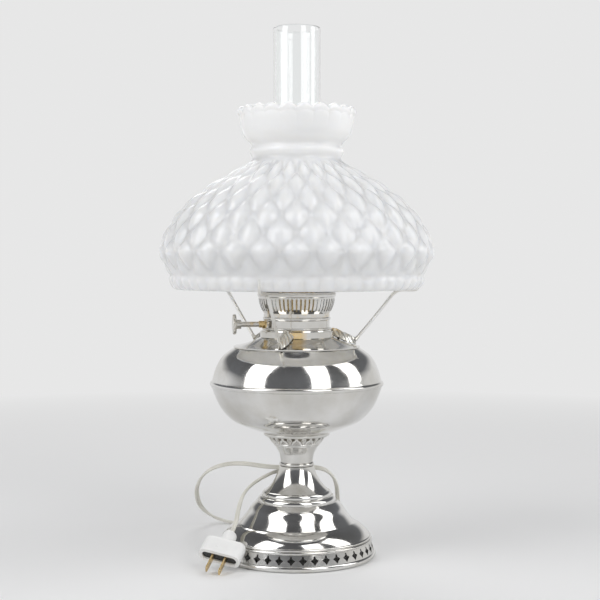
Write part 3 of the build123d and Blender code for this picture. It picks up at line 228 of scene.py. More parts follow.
def clear_glass(name, tint=(0.98, 0.99, 0.99)):
    """Clear blown glass, a little wavy, that lets the light through to what stands inside it."""
    made, tree, shader, coords = blank(name)
    shader.inputs["Base Color"].default_value = (*tint, 1)
    shader.inputs["Transmission Weight"].default_value = 1.0
    shader.inputs["IOR"].default_value = 1.5
    tree.links.new(spread(tree, noise(tree, coords, scale=40), 0.0, 0.03), shader.inputs["Roughness"])
    waves = noise(tree, scaled(tree, coords, (26, 26, 5)), scale=1.0, detail=2)
    bump(tree, shader, waves, strength=0.06, distance=2 * MM)
    rays = tree.nodes.new("ShaderNodeLightPath")
    surface = shader.outputs["BSDF"]
    for ray in ("Is Shadow Ray", "Is Diffuse Ray"):
        open_air = tree.nodes.new("ShaderNodeBsdfTransparent")
        mix = tree.nodes.new("ShaderNodeMixShader")
        tree.links.new(rays.outputs[ray], mix.inputs["Fac"])
        tree.links.new(surface, mix.inputs[1])
        tree.links.new(open_air.outputs["BSDF"], mix.inputs[2])
        surface = mix.outputs["Shader"]
    tree.links.new(surface, tree.nodes["Material Output"].inputs["Surface"])
    return made


def moulded(name, low, high, haze, grain=320, relief=0.06):
    """Moulded plastic or rubber: two close shades and a fine grain."""
    made, tree, shader, coords = blank(name)
    tint = ramp(tree, noise(tree, coords, scale=55, detail=5), [(0.35, low), (0.65, high)])
    tree.links.new(tint, shader.inputs["Base Color"])
    tree.links.new(spread(tree, noise(tree, coords, scale=140), *haze), shader.inputs["Roughness"])
    bump(tree, shader, noise(tree, coords, grain, detail=3), relief, distance=FINE_GRAIN)
    return made


# Where the plate is worn through: a place or a height on the lamp, and its reach
RIGHT_LEAF_WEAR = ((37.0, 10.0, 226.0), 11.0)
COLLAR_WEAR = ((0.5, -36.6, 222.5), 11.0)
SHAFT_WEAR = ((-38.0, -5.3, 232.0), 16.0)
GALLERY_WEAR = (244.5, 6.0)

NICKEL = nickel_plate("turned_nickel")
NICKEL_CAST = nickel_plate("cast_nickel", aged=(0.60, 0.58, 0.53), haze=(0.14, 0.30), turned_marks=False)
# The pressed cup and the cast leaves get painted shade in the hollows of their relief
NICKEL_CUP = nickel_plate("pressed_nickel", haze=(0.08, 0.22), turned_marks=False,
                          hollows=(0.22, 0.20, 0.165))
NICKEL_LEAF = nickel_plate("leaf_nickel", bright=(0.80, 0.79, 0.77), aged=(0.66, 0.64, 0.58),
                           haze=(0.12, 0.28), turned_marks=False, worn_spot=RIGHT_LEAF_WEAR,
                           hollows=(0.44, 0.42, 0.37))
# Painted light: the wires' nickel is lighter than the other nickel, so the arms look as bright as wire
# catching light
NICKEL_WIRE_PAINTED_LIGHT = nickel_plate("wire_nickel_painted_light", bright=(0.84, 0.835, 0.82), aged=(0.72, 0.70, 0.66),
                           haze=(0.24, 0.42), turned_marks=False)
NICKEL_COLLAR = nickel_plate("collar_nickel", worn_spot=COLLAR_WEAR, wear=(0.26, 0.46))
NICKEL_GALLERY = nickel_plate("gallery_nickel", worn_level=GALLERY_WEAR, wear=(0.46, 0.95))
NICKEL_SHAFT = nickel_plate("shaft_nickel", haze=(0.14, 0.30), worn_spot=SHAFT_WEAR)
BRASS = bare_metal("lamp_brass", fresh=(0.78, 0.60, 0.30), dull=(0.62, 0.46, 0.24), haze=(0.16, 0.36),
                   tint_scale=60, haze_scale=120)
STEEL = bare_metal("plain_steel", fresh=(0.58, 0.58, 0.57), dull=(0.46, 0.455, 0.44), haze=(0.28, 0.45),
                   tint_scale=80, haze_scale=150)
OPAL = opal_glass("opal_glass")
CHIMNEY_GLASS = clear_glass("chimney_glass")
BULB_GLASS = clear_glass("bulb_glass", tint=(0.99, 0.98, 0.96))
IVORY = moulded("ivory_cord", low=(0.68, 0.665, 0.60), high=(0.78, 0.765, 0.70), haze=(0.34, 0.52),
                grain=500, relief=0.04)
WHITE = moulded("white_plug", low=(0.82, 0.82, 0.81), high=(0.88, 0.88, 0.87), haze=(0.26, 0.44))
BLACK = moulded("black_fibre", low=(0.012, 0.012, 0.012), high=(0.035, 0.034, 0.033), haze=(0.22, 0.40))


# Ways of building

def catmull(points, pieces):
    """A smooth line through points, with a number of pieces between each two."""
    line = []
    ends = [points[0], *points, points[-1]]
    for a, b, c, d in zip(ends, ends[1:], ends[2:], ends[3:]):
        for step in range(pieces):
            t = step / pieces
            line.append(tuple(
                0.5 * (2 * q + (r - p) * t
                       + (2 * p - 5 * q + 4 * r - s) * t**2
                       + (3 * q - p - 3 * r + s) * t**3)
                for p, q, r, s in zip(a, b, c, d)
            ))
    line.append(tuple(points[-1]))
    return line


def bow(start, middle, end, pieces):
    """Points of the circle through three (radius, height) points, from the first to the last."""
    ax, ay = start
    bx, by = middle
    cx, cy = end
    a, b, c = ax**2 + ay**2, bx**2 + by**2, cx**2 + cy**2
    twice_area = 2 * (ax * (by - cy) + bx * (cy - ay) + cx * (ay - by))
    centre_x = (a * (by - cy) + b * (cy - ay) + c * (ay - by)) / twice_area
    centre_y = (a * (cx - bx) + b * (ax - cx) + c * (bx - ax)) / twice_area
    radius = math.hypot(ax - centre_x, ay - centre_y)
    first = math.atan2(ay - centre_y, ax - centre_x)
    via = (math.atan2(by - centre_y, bx - centre_x) - first) % ROUND
    sweep = (math.atan2(cy - centre_y, cx - centre_x) - first) % ROUND
    if via > sweep:
        sweep -= ROUND
    turns = [first + sweep * k / pieces for k in range(pieces + 1)]
    return [(centre_x + radius * math.cos(turn), centre_y + radius * math.sin(turn)) for turn in turns]


def piece(name, bm, finish, body, nodes, sharp=38):
    """Finishes a bmesh as an object of the lamp that rides on a body and stands for CAD nodes."""
    bmesh.ops.remove_doubles(bm, verts=bm.verts, dist=1e-6)
    bmesh.ops.recalc_face_normals(bm, faces=bm.faces)
    mesh = bpy.data.meshes.new(name)
    bm.to_mesh(mesh)
    bm.free()
    mesh.shade_smooth()
    mesh.set_sharp_from_angle(angle=math.radians(sharp))
    mesh.materials.append(finish)
    made = bpy.data.objects.new(name, mesh)
    scene.collection.objects.link(made)
    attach(made, body)
    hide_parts(*nodes)
    return made


def spin_ring(bm, ring, steps):
    """Closes a row of vertices to an outline and spins it about the lamp's axis."""
    edges = [bm.edges.new(pair) for pair in zip(ring, ring[1:] + ring[:1])]
    bmesh.ops.spin(bm, geom=ring + edges, cent=(0, 0, 0), axis=(0, 0, 1), angle=ROUND, steps=steps,
                   use_merge=True)


def spin_outline(bm, outline, steps):
    """Spins a closed outline of (radius, height) points."""
    spin_ring(bm, [bm.verts.new((r * MM, 0, z * MM)) for r, z in outline], steps)


def turned(name, outline, finish, *nodes, slot="nickel", steps=144, body="lamp"):
    """A turned piece that stands for one CAD node or more."""
    bm = bmesh.new()
    spin_outline(bm, outline, steps)
    piece(name, bm, finish, body, nodes)


def turn_about_axis(bm, degrees):
    bmesh.ops.rotate(bm, verts=bm.verts, matrix=Matrix.Rotation(math.radians(degrees), 3, "Z"))


# Turned and spun metal of the base

BELL_FOOT = 21.3
BELL_TOP = 55.0
BELL_STEP = (57.9, 33.6)
STEP_GROOVE = (34.8, 60.25)
STEP_TOP = 65.5
STEP_TOP_R = 31.8
PEDESTAL_TOP = 90.0
WAIST_TOP = 94.0
WAIST_R = 16.0
STEM_BORE_R = 12.0
CUP_TOP = 124.0

turned("base_bell_spun", [
    *bow((73.0, BELL_FOOT), (67.2, 28.19), BELL_STEP, 14),
    *catmull([BELL_STEP, (50.4, 43.02), (46.0, 49.86), (40.6, BELL_TOP)], 8)[1:],
    (35, BELL_TOP), (35, 53.8), (39.4, 53.8), (45.0, 49.2), (57.0, 33.0), (66.4, 27.4), (71.3, BELL_FOOT),
], NICKEL, "base_bell")
turned("step_ring_spun", [
    *bow((39.4, BELL_TOP), (39.2, 57.52), STEP_GROOVE, 8),
    *bow(STEP_GROOVE, (34.8, 63.19), (STEP_TOP_R, STEP_TOP), 8)[1:],
    (29, STEP_TOP), (29, BELL_TOP),
], NICKEL, "step_ring")
turned("pedestal_spun", [
    *bow((STEP_TOP_R, STEP_TOP), (22.1, 77.0), (17.1, PEDESTAL_TOP), 18),
    (STEM_BORE_R, PEDESTAL_TOP), (19.3, 74), (29.4, STEP_TOP),
], NICKEL, "pedestal")
turned("waist_ring_spun", [
    *bow((WAIST_R, PEDESTAL_TOP), (17.5, 92), (WAIST_R, WAIST_TOP), 8),
    (STEM_BORE_R, WAIST_TOP), (STEM_BORE_R, PEDESTAL_TOP),
], NICKEL, "waist_ring")


# Cup with a pressed band of leaves

CUP_LEAVES = 12
LEAF_COLUMNS = 36
LEAF_ROWS = 24
LEAF_PRESS = 1.2
CUP_NECK = (22.0, 110.5)
CUP_GROOVE = (22.3, 112.0)
BAND_FOOT = (23.6, 113.4)
BAND_TOP = (29.6, 121.4)
BAND_SLACK = 0.1
BAND_MARGIN = 0.02

# A leaf is one wide, and its fan of fingers opens from a point under the band
FAN_NARROWING = 1.7
FAN_BELOW = 0.22
FAN_FINGERS = 7
FAN_REACH = 0.78
FINGER_REACH = 0.40
FINGER_EDGE = 0.12
FINGER_GROOVE = 0.25
BUD_MIDDLE = 0.62
BUD_HALF_WIDE = 0.13
BUD_HALF_TALL = 0.30
BUD_RISE = 1.6


def pressed_leaf(share, turn):
    """Height of the leaves pressed into the cup: a fan of pointed fingers with a bud between each two."""
    place = turn / ROUND * CUP_LEAVES % 1.0 - 0.5
    aside = FAN_NARROWING * place
    up = share + FAN_BELOW
    finger = abs(math.cos(FAN_FINGERS / 2 * math.atan2(aside, up)))
    within = (FAN_REACH + FINGER_REACH * finger - math.hypot(aside, up)) / FINGER_EDGE
    leaf = min(1.0, max(0.0, within)) * (FINGER_GROOVE + (1 - FINGER_GROOVE) * finger ** 1.5)
    bud = 1 - math.hypot((0.5 - abs(place)) / BUD_HALF_WIDE, (share - BUD_MIDDLE) / BUD_HALF_TALL)
    return max(leaf, BUD_RISE * bud, 0.0)


def stem_cup():
    bm = bmesh.new()
    wide = BAND_TOP[0] - BAND_FOOT[0]
    tall = BAND_TOP[1] - BAND_FOOT[1]
    band = [
        (BAND_FOOT[0] + wide * k / LEAF_ROWS, BAND_FOOT[1] + tall * k / LEAF_ROWS)
        for k in range(LEAF_ROWS + 1)
    ]
    spin_outline(bm, [
        *catmull([(WAIST_R, WAIST_TOP), (17.5, 102.25), CUP_NECK], 10),
        *bow(CUP_NECK, (23.0, 111.2), CUP_GROOVE, 5)[1:],
        *bow(CUP_GROOVE, (23.9, 112.7), BAND_FOOT, 5)[1:],
        *band[1:],
        *bow(BAND_TOP, (33.4, 122.7), (32.75, CUP_TOP), 6)[1:],
        (28.4, CUP_TOP), (21.2, BAND_FOOT[1]), (STEM_BORE_R, 102), (STEM_BORE_R, WAIST_TOP),
    ], CUP_LEAVES * LEAF_COLUMNS)
    # The relief layer sets the painted shade between the pressed leaves: low relief is painted dark
    relief = bm.verts.layers.float.new("relief")
    for vert in bm.verts:
        vert[relief] = 1.0
        radius = math.hypot(vert.co.x, vert.co.y) / MM
        share = (vert.co.z / MM - BAND_FOOT[1]) / tall
        on_band = abs(radius - BAND_FOOT[0] - share * wide) < BAND_SLACK
        if on_band and BAND_MARGIN < share < 1 - BAND_MARGIN:
            vert[relief] = pressed_leaf(share, math.atan2(vert.co.y, vert.co.x))
            grown = 1 + LEAF_PRESS * vert[relief] / radius
            vert.co = (vert.co.x * grown, vert.co.y * grown, vert.co.z)
    piece("stem_cup_pressed", bm, NICKEL_CUP, "lamp", ["stem_cup"], sharp=60)


stem_cup()


# Turned and spun metal of the font and the burner

FONT_BAND_FOOT = 170.5
FONT_BAND_TOP = 175.5
FONT_TOP = 209.0
PLATE_EDGE = (63.2, 210.2)
PLATE_MIDDLE = (48.6, 213.8)
PLATE_NECK = (36.6, 219.0)
PLATE_TOP = PLATE_NECK[1]
COLLAR_TOP = 227.0
COLLAR_BORE_R = 31.2
BURNER_BAND_TOP = 236.0
BURNER_BORE_R = 30.6
HOLDER_BORE_R = 35.0

turned("font_lower_spun", [
    *catmull([(34, CUP_TOP), (53, 130.975), (66.5, 137.95), (78, 151.9), (85.6, FONT_BAND_FOOT)], 12),
    (83.4, FONT_BAND_FOOT), (76, 152), (65, 139.3), (34, 125.2), (5.1, 125.2), (5.1, CUP_TOP),
], NICKEL, "font_lower")
turned("font_band_spun", [
    *bow((85.6, FONT_BAND_FOOT), (87.0, 173.0), (85.0, FONT_BAND_TOP), 10),
    (82.6, FONT_BAND_TOP), (83.2, FONT_BAND_FOOT),
], NICKEL, "font_band")
turned("font_upper_spun", [
    *catmull([(85, FONT_BAND_TOP), (80.6, 189.57), (74, 200.29), (62.4, FONT_TOP)], 12),
    (57.6, FONT_TOP), (57.6, 207.8), (72.6, 199), (78.8, 189), (82.8, FONT_BAND_TOP),
], NICKEL, "font_upper")
turned("shoulder_plate_spun", [
    (PLATE_EDGE[0], FONT_TOP), *bow(PLATE_EDGE, PLATE_MIDDLE, PLATE_NECK, 12), (COLLAR_BORE_R, PLATE_TOP),
    (COLLAR_BORE_R, 217.8), (35.4, 217.8), (48.6, 212.6), (60, FONT_TOP),
], NICKEL, "shoulder_plate")
turned("burner_collar_turned", [
    (34.2, PLATE_TOP), (34.7, 219.6), (34.7, 226.2), (34.3, COLLAR_TOP),
    (COLLAR_BORE_R, COLLAR_TOP), (COLLAR_BORE_R, PLATE_TOP),
], NICKEL_COLLAR, "burner_collar", slot="brass")
turned("burner_band_turned", [
    *bow((34.6, COLLAR_TOP), (35.0, 227.8), (33.0, 228.6), 6), (33, BURNER_BAND_TOP),
    (BURNER_BORE_R, BURNER_BAND_TOP), (BURNER_BORE_R, COLLAR_TOP),
], NICKEL, "burner_band")
turned("holder_ring_turned", [
    (36.2, PLATE_TOP), (36.6, 219.4), (36.6, 225.0), (36.2, 225.4),
    (HOLDER_BORE_R, 225.4), (HOLDER_BORE_R, PLATE_TOP),
], NICKEL_COLLAR, "holder_ring")


# Shade holder: three cast leaf feet, and the wires that they carry

# Degrees round the lamp's axis from the right-hand side
ARMS = {"front": -105, "right": 15, "rear": 135}
ARM_START = (62.16, 215.98)
ARM_TURN = (108.6, 265.4)
ARM_ROUTE = [
    ARM_START, (72.0, 226.8), (82.5, 238.8), (92.5, 250.6), (100.0, 259.4), (105.2, 263.8), (110.6, 265.35),
    (117.0, 265.4), (124.2, 265.4), (127.6, 266.2), (129.4, 268.8), (129.6, 273.0), (129.6, 278.6),
]
ARM_RADIUS = 1.6
ARM_SIDES = 16
ARM_PARTS = 6
FINGER_PARTS = 18
FINGER_TAPER = 0.975

LEAF_ROOT_R = 36.8
LEAF_END_R = 61.8
LEAF_END_HALF = 1.9
LEAF_ROOT_HALF = 5.2
LEAF_THICK = 0.9
LEAF_CLEAR = 0.5
LEAF_LOBES = 4
LOBE_START = 0.3
LOBE_SWEEP = 0.7
LOBE_CUT = 0.26
LOBE_LIFT = 2.0
RIDGE_ROOT = 227.0
RIDGE_FALL = 10.2
RIDGE_WAVES = 2.2
VEIN_RISE = 1.1
VEIN_END = 1.1
MIDRIB_RISE = 0.7
MIDRIB_HALF = 0.13
MIDRIB_UNSHADED = 0.2
CURL_RADIUS = 1.7
CURL_WIDE = 6.2
CURL_PLACE = (39.0, 225.6)
SOCKET_ROOT_R = 2.3
SOCKET_MOUTH_R = 1.6
SOCKET_LONG = 5.0
SOCKET_SHIFT = 1.0
ROUND_SIDES = 20


def plate_height(radius):
    """Top of the shoulder plate at a distance from the axis."""
    inner, outer = PLATE_MIDDLE, PLATE_EDGE
    if radius < PLATE_MIDDLE[0]:
        inner, outer = PLATE_NECK, PLATE_MIDDLE
    return inner[1] - (radius - inner[0]) * (inner[1] - outer[1]) / (outer[0] - inner[0])


def leaf_point(share, across):
    """Radius, offset and height of a point of the leaf, and how far it stands out of the hollows."""
    out = abs(across)
    inward = 1 - share
    lobe = abs(math.sin(math.pi * (LEAF_LOBES * share + LOBE_START - LOBE_SWEEP * out)))
    radius = LEAF_ROOT_R + (LEAF_END_R - LEAF_ROOT_R) * share
    half = LEAF_END_HALF + LEAF_ROOT_HALF * (1 - share ** 1.4) * (1 - LOBE_CUT + LOBE_CUT * lobe)
    edge = plate_height(radius) + LEAF_CLEAR + LOBE_LIFT * lobe * inward
    ridge = RIDGE_ROOT - RIDGE_FALL * share ** 1.15
    ridge += abs(math.sin(math.pi * RIDGE_WAVES * share)) * inward
    height = ridge + (edge - ridge) * out ** 1.6
    height += VEIN_RISE * (lobe - 0.5) * math.sin(math.pi * out ** 0.8) * (VEIN_END - share)
    height += MIDRIB_RISE * math.exp(-(across / MIDRIB_HALF) ** 2)
    # Painted shade: the midrib, the lobes and the tip stay unshaded, and the rest of the leaf is painted
    # darker
    raised = max(math.exp(-(across / MIDRIB_UNSHADED) ** 2), lobe ** 1.2, share)
    return radius, half * across, height, raised


def round_bar(bm, root, mouth, length, turn, axis, place):
    """A round bar or cone, turned about an axis and set at a (radius, height) of the leaf."""
    verts = bmesh.ops.create_cone(bm, cap_ends=True, segments=ROUND_SIDES, radius1=root * MM,
                                  radius2=mouth * MM, depth=length * MM)["verts"]
    bmesh.ops.rotate(bm, verts=verts, matrix=Matrix.Rotation(turn, 3, axis))
    bmesh.ops.translate(bm, verts=verts, vec=(place[0] * MM, 0, place[1] * MM))
    return verts


def cast_leaf(place, azimuth):
    """A lobed, veined leaf that curls up at the ring and holds the wire in a socket."""
    bm = bmesh.new()
    relief = bm.verts.layers.float.new("relief")
    bmesh.ops.create_grid(bm, x_segments=64, y_segments=32, size=1)
    for vert in bm.verts:
        radius, offset, height, vert[relief] = leaf_point((vert.co.x + 1) / 2, vert.co.y)
        vert.co = (radius * MM, offset * MM, height * MM)
    bmesh.ops.recalc_face_normals(bm, faces=bm.faces)
    bmesh.ops.solidify(bm, geom=bm.faces[:], thickness=LEAF_THICK * MM)
    curl = round_bar(bm, CURL_RADIUS, CURL_RADIUS, CURL_WIDE, QUARTER, "X", CURL_PLACE)
    rise = math.atan2(ARM_TURN[1] - ARM_START[1], ARM_TURN[0] - ARM_START[0])
    socket_place = [c + SOCKET_SHIFT for c in ARM_START]
    socket = round_bar(bm, SOCKET_ROOT_R, SOCKET_MOUTH_R, SOCKET_LONG, QUARTER - rise, "Y", socket_place)
    # The curl and the socket take no painted shade
    for vert in curl + socket:
        vert[relief] = 1.0
    turn_about_axis(bm, azimuth)
    piece(f"cast_leaf_{place}", bm, NICKEL_LEAF, "lamp", [f"leaf_foot_{place}"], sharp=50)


def bent_wire(place, azimuth):
    """A wire arm, bowed a little from its leaf, level under the shade's rim and up outside it as a finger."""
    bm = bmesh.new()
    route = [Vector((r * MM, 0, z * MM)) for r, z in catmull(ARM_ROUTE, ARM_PARTS)]
    finger = len(route) - 1 - FINGER_PARTS
    runs = [after - before for before, after in zip([route[0], *route], [*route[1:], route[-1]])]
    headings = [math.atan2(run.z, run.x) for run in runs]
    bmesh.ops.create_circle(bm, cap_ends=True, segments=ARM_SIDES, radius=ARM_RADIUS * MM)
    bmesh.ops.rotate(bm, verts=bm.verts, matrix=Matrix.Rotation(QUARTER - headings[0], 3, "Y"))
    bmesh.ops.translate(bm, verts=bm.verts, vec=route[0])
    ring = bm.edges[:]
    for k in range(1, len(route)):
        grown = bmesh.ops.extrude_edge_only(bm, edges=ring)["geom"]
        verts = [part for part in grown if isinstance(part, bmesh.types.BMVert)]
        ring = [part for part in grown if isinstance(part, bmesh.types.BMEdge)]
        bend = Matrix.Rotation(headings[k - 1] - headings[k], 3, "Y")
        bmesh.ops.translate(bm, verts=verts, vec=route[k] - route[k - 1])
        bmesh.ops.rotate(bm, verts=verts, cent=route[k], matrix=bend)
        if k > finger:
            bmesh.ops.scale(bm, verts=verts, vec=(FINGER_TAPER,) * 3, space=Matrix.Translation(-route[k]))
    bmesh.ops.holes_fill(bm, edges=ring)
    turn_about_axis(bm, azimuth)
    piece(f"bent_wire_{place}", bm, NICKEL_WIRE_PAINTED_LIGHT, "lamp", [f"wire_arm_{place}"], sharp=50)


for place, azimuth in ARMS.items():
    cast_leaf(place, azimuth)
    bent_wire(place, azimuth)


# Glass chimney, with extra rings beside each bend that keep the straight walls' shading straight

BULGE_R = 31.8
BULGE_BORE_R = 30.0
TUBE_R = 23.4
TUBE_BORE_R = 21.6
CHIMNEY_FOOT = 244.3
BULGE_TOP = 280.3
TUBE_FOOT = 322.3
TUBE_TOP = 525.4

turned("chimney_blown", [
    (BULGE_R, CHIMNEY_FOOT), (BULGE_R, 245.3), (BULGE_R, 279.0),
    *catmull([(BULGE_R, BULGE_TOP), (31.2, 288.7), (27.6, 301.3), (24.0, 313.9), (TUBE_R, TUBE_FOOT)], 6),
    (TUBE_R, 323.8), (TUBE_R, 524.6),
    *bow((TUBE_R, TUBE_TOP), (22.5, 526.3), (TUBE_BORE_R, TUBE_TOP), 6),
    (TUBE_BORE_R, 524.6), (TUBE_BORE_R, 323.8),
    *catmull([
        (TUBE_BORE_R, TUBE_FOOT), (22.2, 313.9), (25.8, 301.3), (29.4, 288.7), (BULGE_BORE_R, BULGE_TOP),
    ], 6),
    (BULGE_BORE_R, 279.0), (BULGE_BORE_R, 245.3), (BULGE_BORE_R, CHIMNEY_FOOT),
], CHIMNEY_GLASS, "chimney_base", "chimney_tube", slot="clear_glass", steps=128, body="chimney")


# Quilted shade

RIM_LINE = [(118.2, 267.0), (121.0, 267.4), (123.9, 269.6), (126.0, 273.2), (127.0, 277.2), (126.2, 280.6)]
DOME_LINE = [
    (127.4, 281), (137.8, 303), (132.6, 321), (121.8, 340), (106.0, 356), (86.6, 371), (64.0, 384),
    (47.6, 394),
]
LIP_OUTSIDE = (57.7, 440)
CROWN_LINE = [
    (45.2, 394.6), (44.5, 398), (47.2, 404), (44.6, 410), (50.3, 416), (54.2, 422), (56.0, 429), (57.6, 436),
    LIP_OUTSIDE,
]
LIP_TOP = (56.6, 447.0)
LIP_INSIDE = (54.0, 440.0)
FLARE_INSIDE = [(53.8, 438), (51.6, 424)]
DOME_INSIDE = [
    (46.5, 415.5), (41.4, 410), (41.3, 394), (60.0, 380.4), (82.6, 366.2), (101.4, 351.7), (116.6, 336.7),
    (127.0, 319.5), (132.2, 303), (122.5, 282.4), (116.4, 267.0),
]
FLARE_FOOT = 416
FLARE_TALL = LIP_TOP[1] - FLARE_FOOT
RIM_PARTS = 4
ROW_PARTS = 13
CROWN_PARTS = 4
LIP_PARTS = 8

# Zones of the shade's section
RIM, QUILT, CROWN, INSIDE = 1, 2, 3, 4

RIB_RISE = 1.7
RIB_SET = 1.3
RIB_END = 1.05
RIB_FULLNESS = 0.7
DIAMONDS = 28
AROUND = DIAMONDS * 20
QUILT_ROWS = len(DOME_LINE) - 1
QUILT_DEPTH = 4.2
QUILT_FADE_IN = 0.35
QUILT_FADE_OUT = 0.8
PLAIN_DEPTH = 1.2
PILLOW_FULLNESS = 0.7
SEAM_RISE = 1.0
SEAM_HALF = 0.045
SEAM_BEADS = 8
BEAD_SHARE = 0.25
KNOT_RISE = 1.0
KNOT_SPREAD = 0.0075
SCALLOPS = 22
SCALLOP_FULLNESS = 0.8
SCALLOP_IN = 1.6
SCALLOP_DROP = 3.6


def flare(height):
    """Share of the way up the crown's flare."""
    return max(0.0, (height - FLARE_FOOT) / FLARE_TALL)


def shade_section():
    """The shade's outline: radius, height, zone, how far up that zone, and the wall's lean."""
    rim = catmull(RIM_LINE, RIM_PARTS)
    for k, (radius, height) in enumerate(rim[:-1]):
        yield radius, height, RIM, k / (len(rim) - 1), 0.0
    dome = catmull(DOME_LINE, ROW_PARTS)
    for k, (radius, height) in enumerate(dome):
        below = dome[max(k - 1, 0)]
        above = dome[min(k + 1, len(dome) - 1)]
        lean = math.atan2(below[0] - above[0], above[1] - below[1])
        yield radius, height, QUILT, k / ROW_PARTS, lean
    crown = catmull(CROWN_LINE, CROWN_PARTS)[1:]
    lip = bow(LIP_OUTSIDE, LIP_TOP, LIP_INSIDE, LIP_PARTS)[1:]
    for radius, height in [*crown, *lip, *FLARE_INSIDE]:
        yield radius, height, CROWN, flare(height), 0.0
    for radius, height in DOME_INSIDE:
        yield radius, height, INSIDE, 0.0, 0.0


def quilt_relief(level, turn):
    """Depth of the quilted pattern: pillows between crossing seams, a beaded cord along each, and knots."""
    step = turn / ROUND * 2 * DIAMONDS
    one = ((step + level) / 2) % 1.0
    two = ((step - level) / 2) % 1.0
    near_one = min(one, 1 - one)
    near_two = min(two, 1 - two)
    along = two if near_one < near_two else one
    beads = 1 - BEAD_SHARE + BEAD_SHARE * math.cos(ROUND * SEAM_BEADS * along)
    pillow = (math.sin(math.pi * one) * math.sin(math.pi * two)) ** PILLOW_FULLNESS
    seam = math.exp(-(min(near_one, near_two) / SEAM_HALF) ** 2) * beads
    knot = math.exp(-((near_one**2 + near_two**2) / KNOT_SPREAD))
    return -QUILT_DEPTH + QUILT_DEPTH * pillow + SEAM_RISE * seam + KNOT_RISE * knot


def pressed_place(zone, level, lean, radius, height, turn):
    """Radius and height of a point of the shade once its zone's pattern is pressed."""
    if zone == RIM:
        rib = math.sin(math.pi * min(1.0, level * RIB_END)) ** RIB_FULLNESS
        radius += rib * (RIB_RISE * abs(math.cos(turn * DIAMONDS)) - RIB_SET)
    elif zone == QUILT:
        fade = min(1.0, level / QUILT_FADE_IN) * min(1.0, (QUILT_ROWS - level) / QUILT_FADE_OUT)
        depth = quilt_relief(level, turn) * fade - PLAIN_DEPTH * (1 - fade)
        radius += depth * math.cos(lean)
        height += depth * math.sin(lean)
    elif zone == CROWN:
        dip = 1 - abs(math.cos(SCALLOPS / 2 * turn)) ** SCALLOP_FULLNESS
        radius -= level**2 * SCALLOP_IN * dip
        height -= level**2 * SCALLOP_DROP * dip
    return radius, height


def quilted_shade():
    bm = bmesh.new()
    level_of = bm.verts.layers.float.new("level")
    zone_of = bm.verts.layers.int.new("zone")
    lean_of = bm.verts.layers.float.new("lean")
    ring = []
    for radius, height, zone, level, lean in shade_section():
        vert = bm.verts.new((radius * MM, 0, height * MM))
        vert[zone_of] = zone
        vert[level_of] = level
        vert[lean_of] = lean
        ring.append(vert)
    spin_ring(bm, ring, AROUND)
    for vert in bm.verts:
        turn = math.atan2(vert.co.y, vert.co.x)
        flat = math.hypot(vert.co.x, vert.co.y) / MM
        radius, height = pressed_place(
            vert[zone_of], vert[level_of], vert[lean_of], flat, vert.co.z / MM, turn)
        vert.co = (radius * MM * math.cos(turn), radius * MM * math.sin(turn), height * MM)
    piece("quilted_shade", bm, OPAL, "shade", ["shade_dome", "shade_crown"], sharp=80)


quilted_shade()


# Twin cord

CORE_RADIUS = 1.45 * MM
CORE_OFFSET = 1.25 * MM
CORE_SWEEP = math.radians(149.5)
CORE_PARTS = 10
LEAD = [
    (-29.83, 81.08, 10.8), (-35.70, 97.04, 10.8), (-46.0, 118.5, 5.4), (-60.0, 136.0, 2.0),
    (-78.0, 148.0, 1.8), (-94.5, 149.0, 7.0), (-106.5, 141.0, 18.0), (-111.0, 126.0, 33.5),
    (-109.0, 106.5, 51.5), (-98.0, 86.0, 69.0), (-80.0, 66.0, 80.0), (-57.0, 48.5, 84.5),
    (-33.0, 37.0, 82.5), (-8.0, 32.5, 82.0), (14.0, 33.5, 83.0), (28.5, 38.5, 80.0), (37.0, 46.5, 72.0),
    (41.5, 57.0, 61.5), (43.0, 70.0, 48.5), (43.8, 85.0, 35.0), (44.8, 102.0, 21.0), (45.6, 121.0, 9.6),
    (45.95, 143.6, 3.9),
]
TAIL = [
    (-29.95, 143.6, 9.9), (-29.6, 125.0, 12.4), (-28.4, 107.0, 20.0), (-25.5, 88.0, 33.0),
    (-21.5, 69.0, 48.5), (-17.5, 51.0, 62.5), (-14.5, 35.5, 73.3), (-15.5, 24.5, 79.3), (-21.5, 14.8, 81.5),
    (-33.0, 5.0, 77.5), (-45.0, -4.0, 71.5), (-53.5, -12.0, 63.0), (-57.5, -21.5, 51.0),
    (-59.58, -34.60, 37.25), (-63.5, -45.0, 30.5),
]
COIL_CENTRE = (8.0, 166.0)
COIL_LOW = 3.9
COIL_INNER = 21.45
COIL_PITCH = 6.0
COIL_MIDDLE = 2.75
COIL_CLIMB = 0.5
COIL_POINTS = 14
ON_EDGE = QUARTER
HALF_ON_EDGE = math.radians(38)
LYING_HEIGHT = 8.0
HANGING_RISE = 30.0
EDGE_POINTS = 4


def coil_points():
    """Turns of the put-away coil: in on the lower layer, up where it reverses, out on the upper."""
    points = []
    count = round(2 * COIL_MIDDLE * COIL_POINTS)
    for k in range(count + 1):
        lap = k / COIL_POINTS
        radius = COIL_INNER + COIL_PITCH * abs(lap - COIL_MIDDLE)
        climb = min(max((lap - COIL_MIDDLE + COIL_CLIMB / 2) / COIL_CLIMB, 0), 1)
        layer = climb * climb * (3 - 2 * climb)
        turn = ROUND * lap
        points.append((
            COIL_CENTRE[0] + radius * math.cos(turn),
            COIL_CENTRE[1] + radius * math.sin(turn),
            COIL_LOW + COIL_PITCH * layer,
        ))
    return points


def cord_turn(place, from_coil):
    """Turn of the flat cord about its line: on edge at the coil, half so hanging, flat where it lies."""
    turn = HALF_ON_EDGE * min(1.0, max(0.0, (place[2] - LYING_HEIGHT) / HANGING_RISE))
    return turn + (ON_EDGE - turn) * max(0.0, 1 - from_coil / EDGE_POINTS)


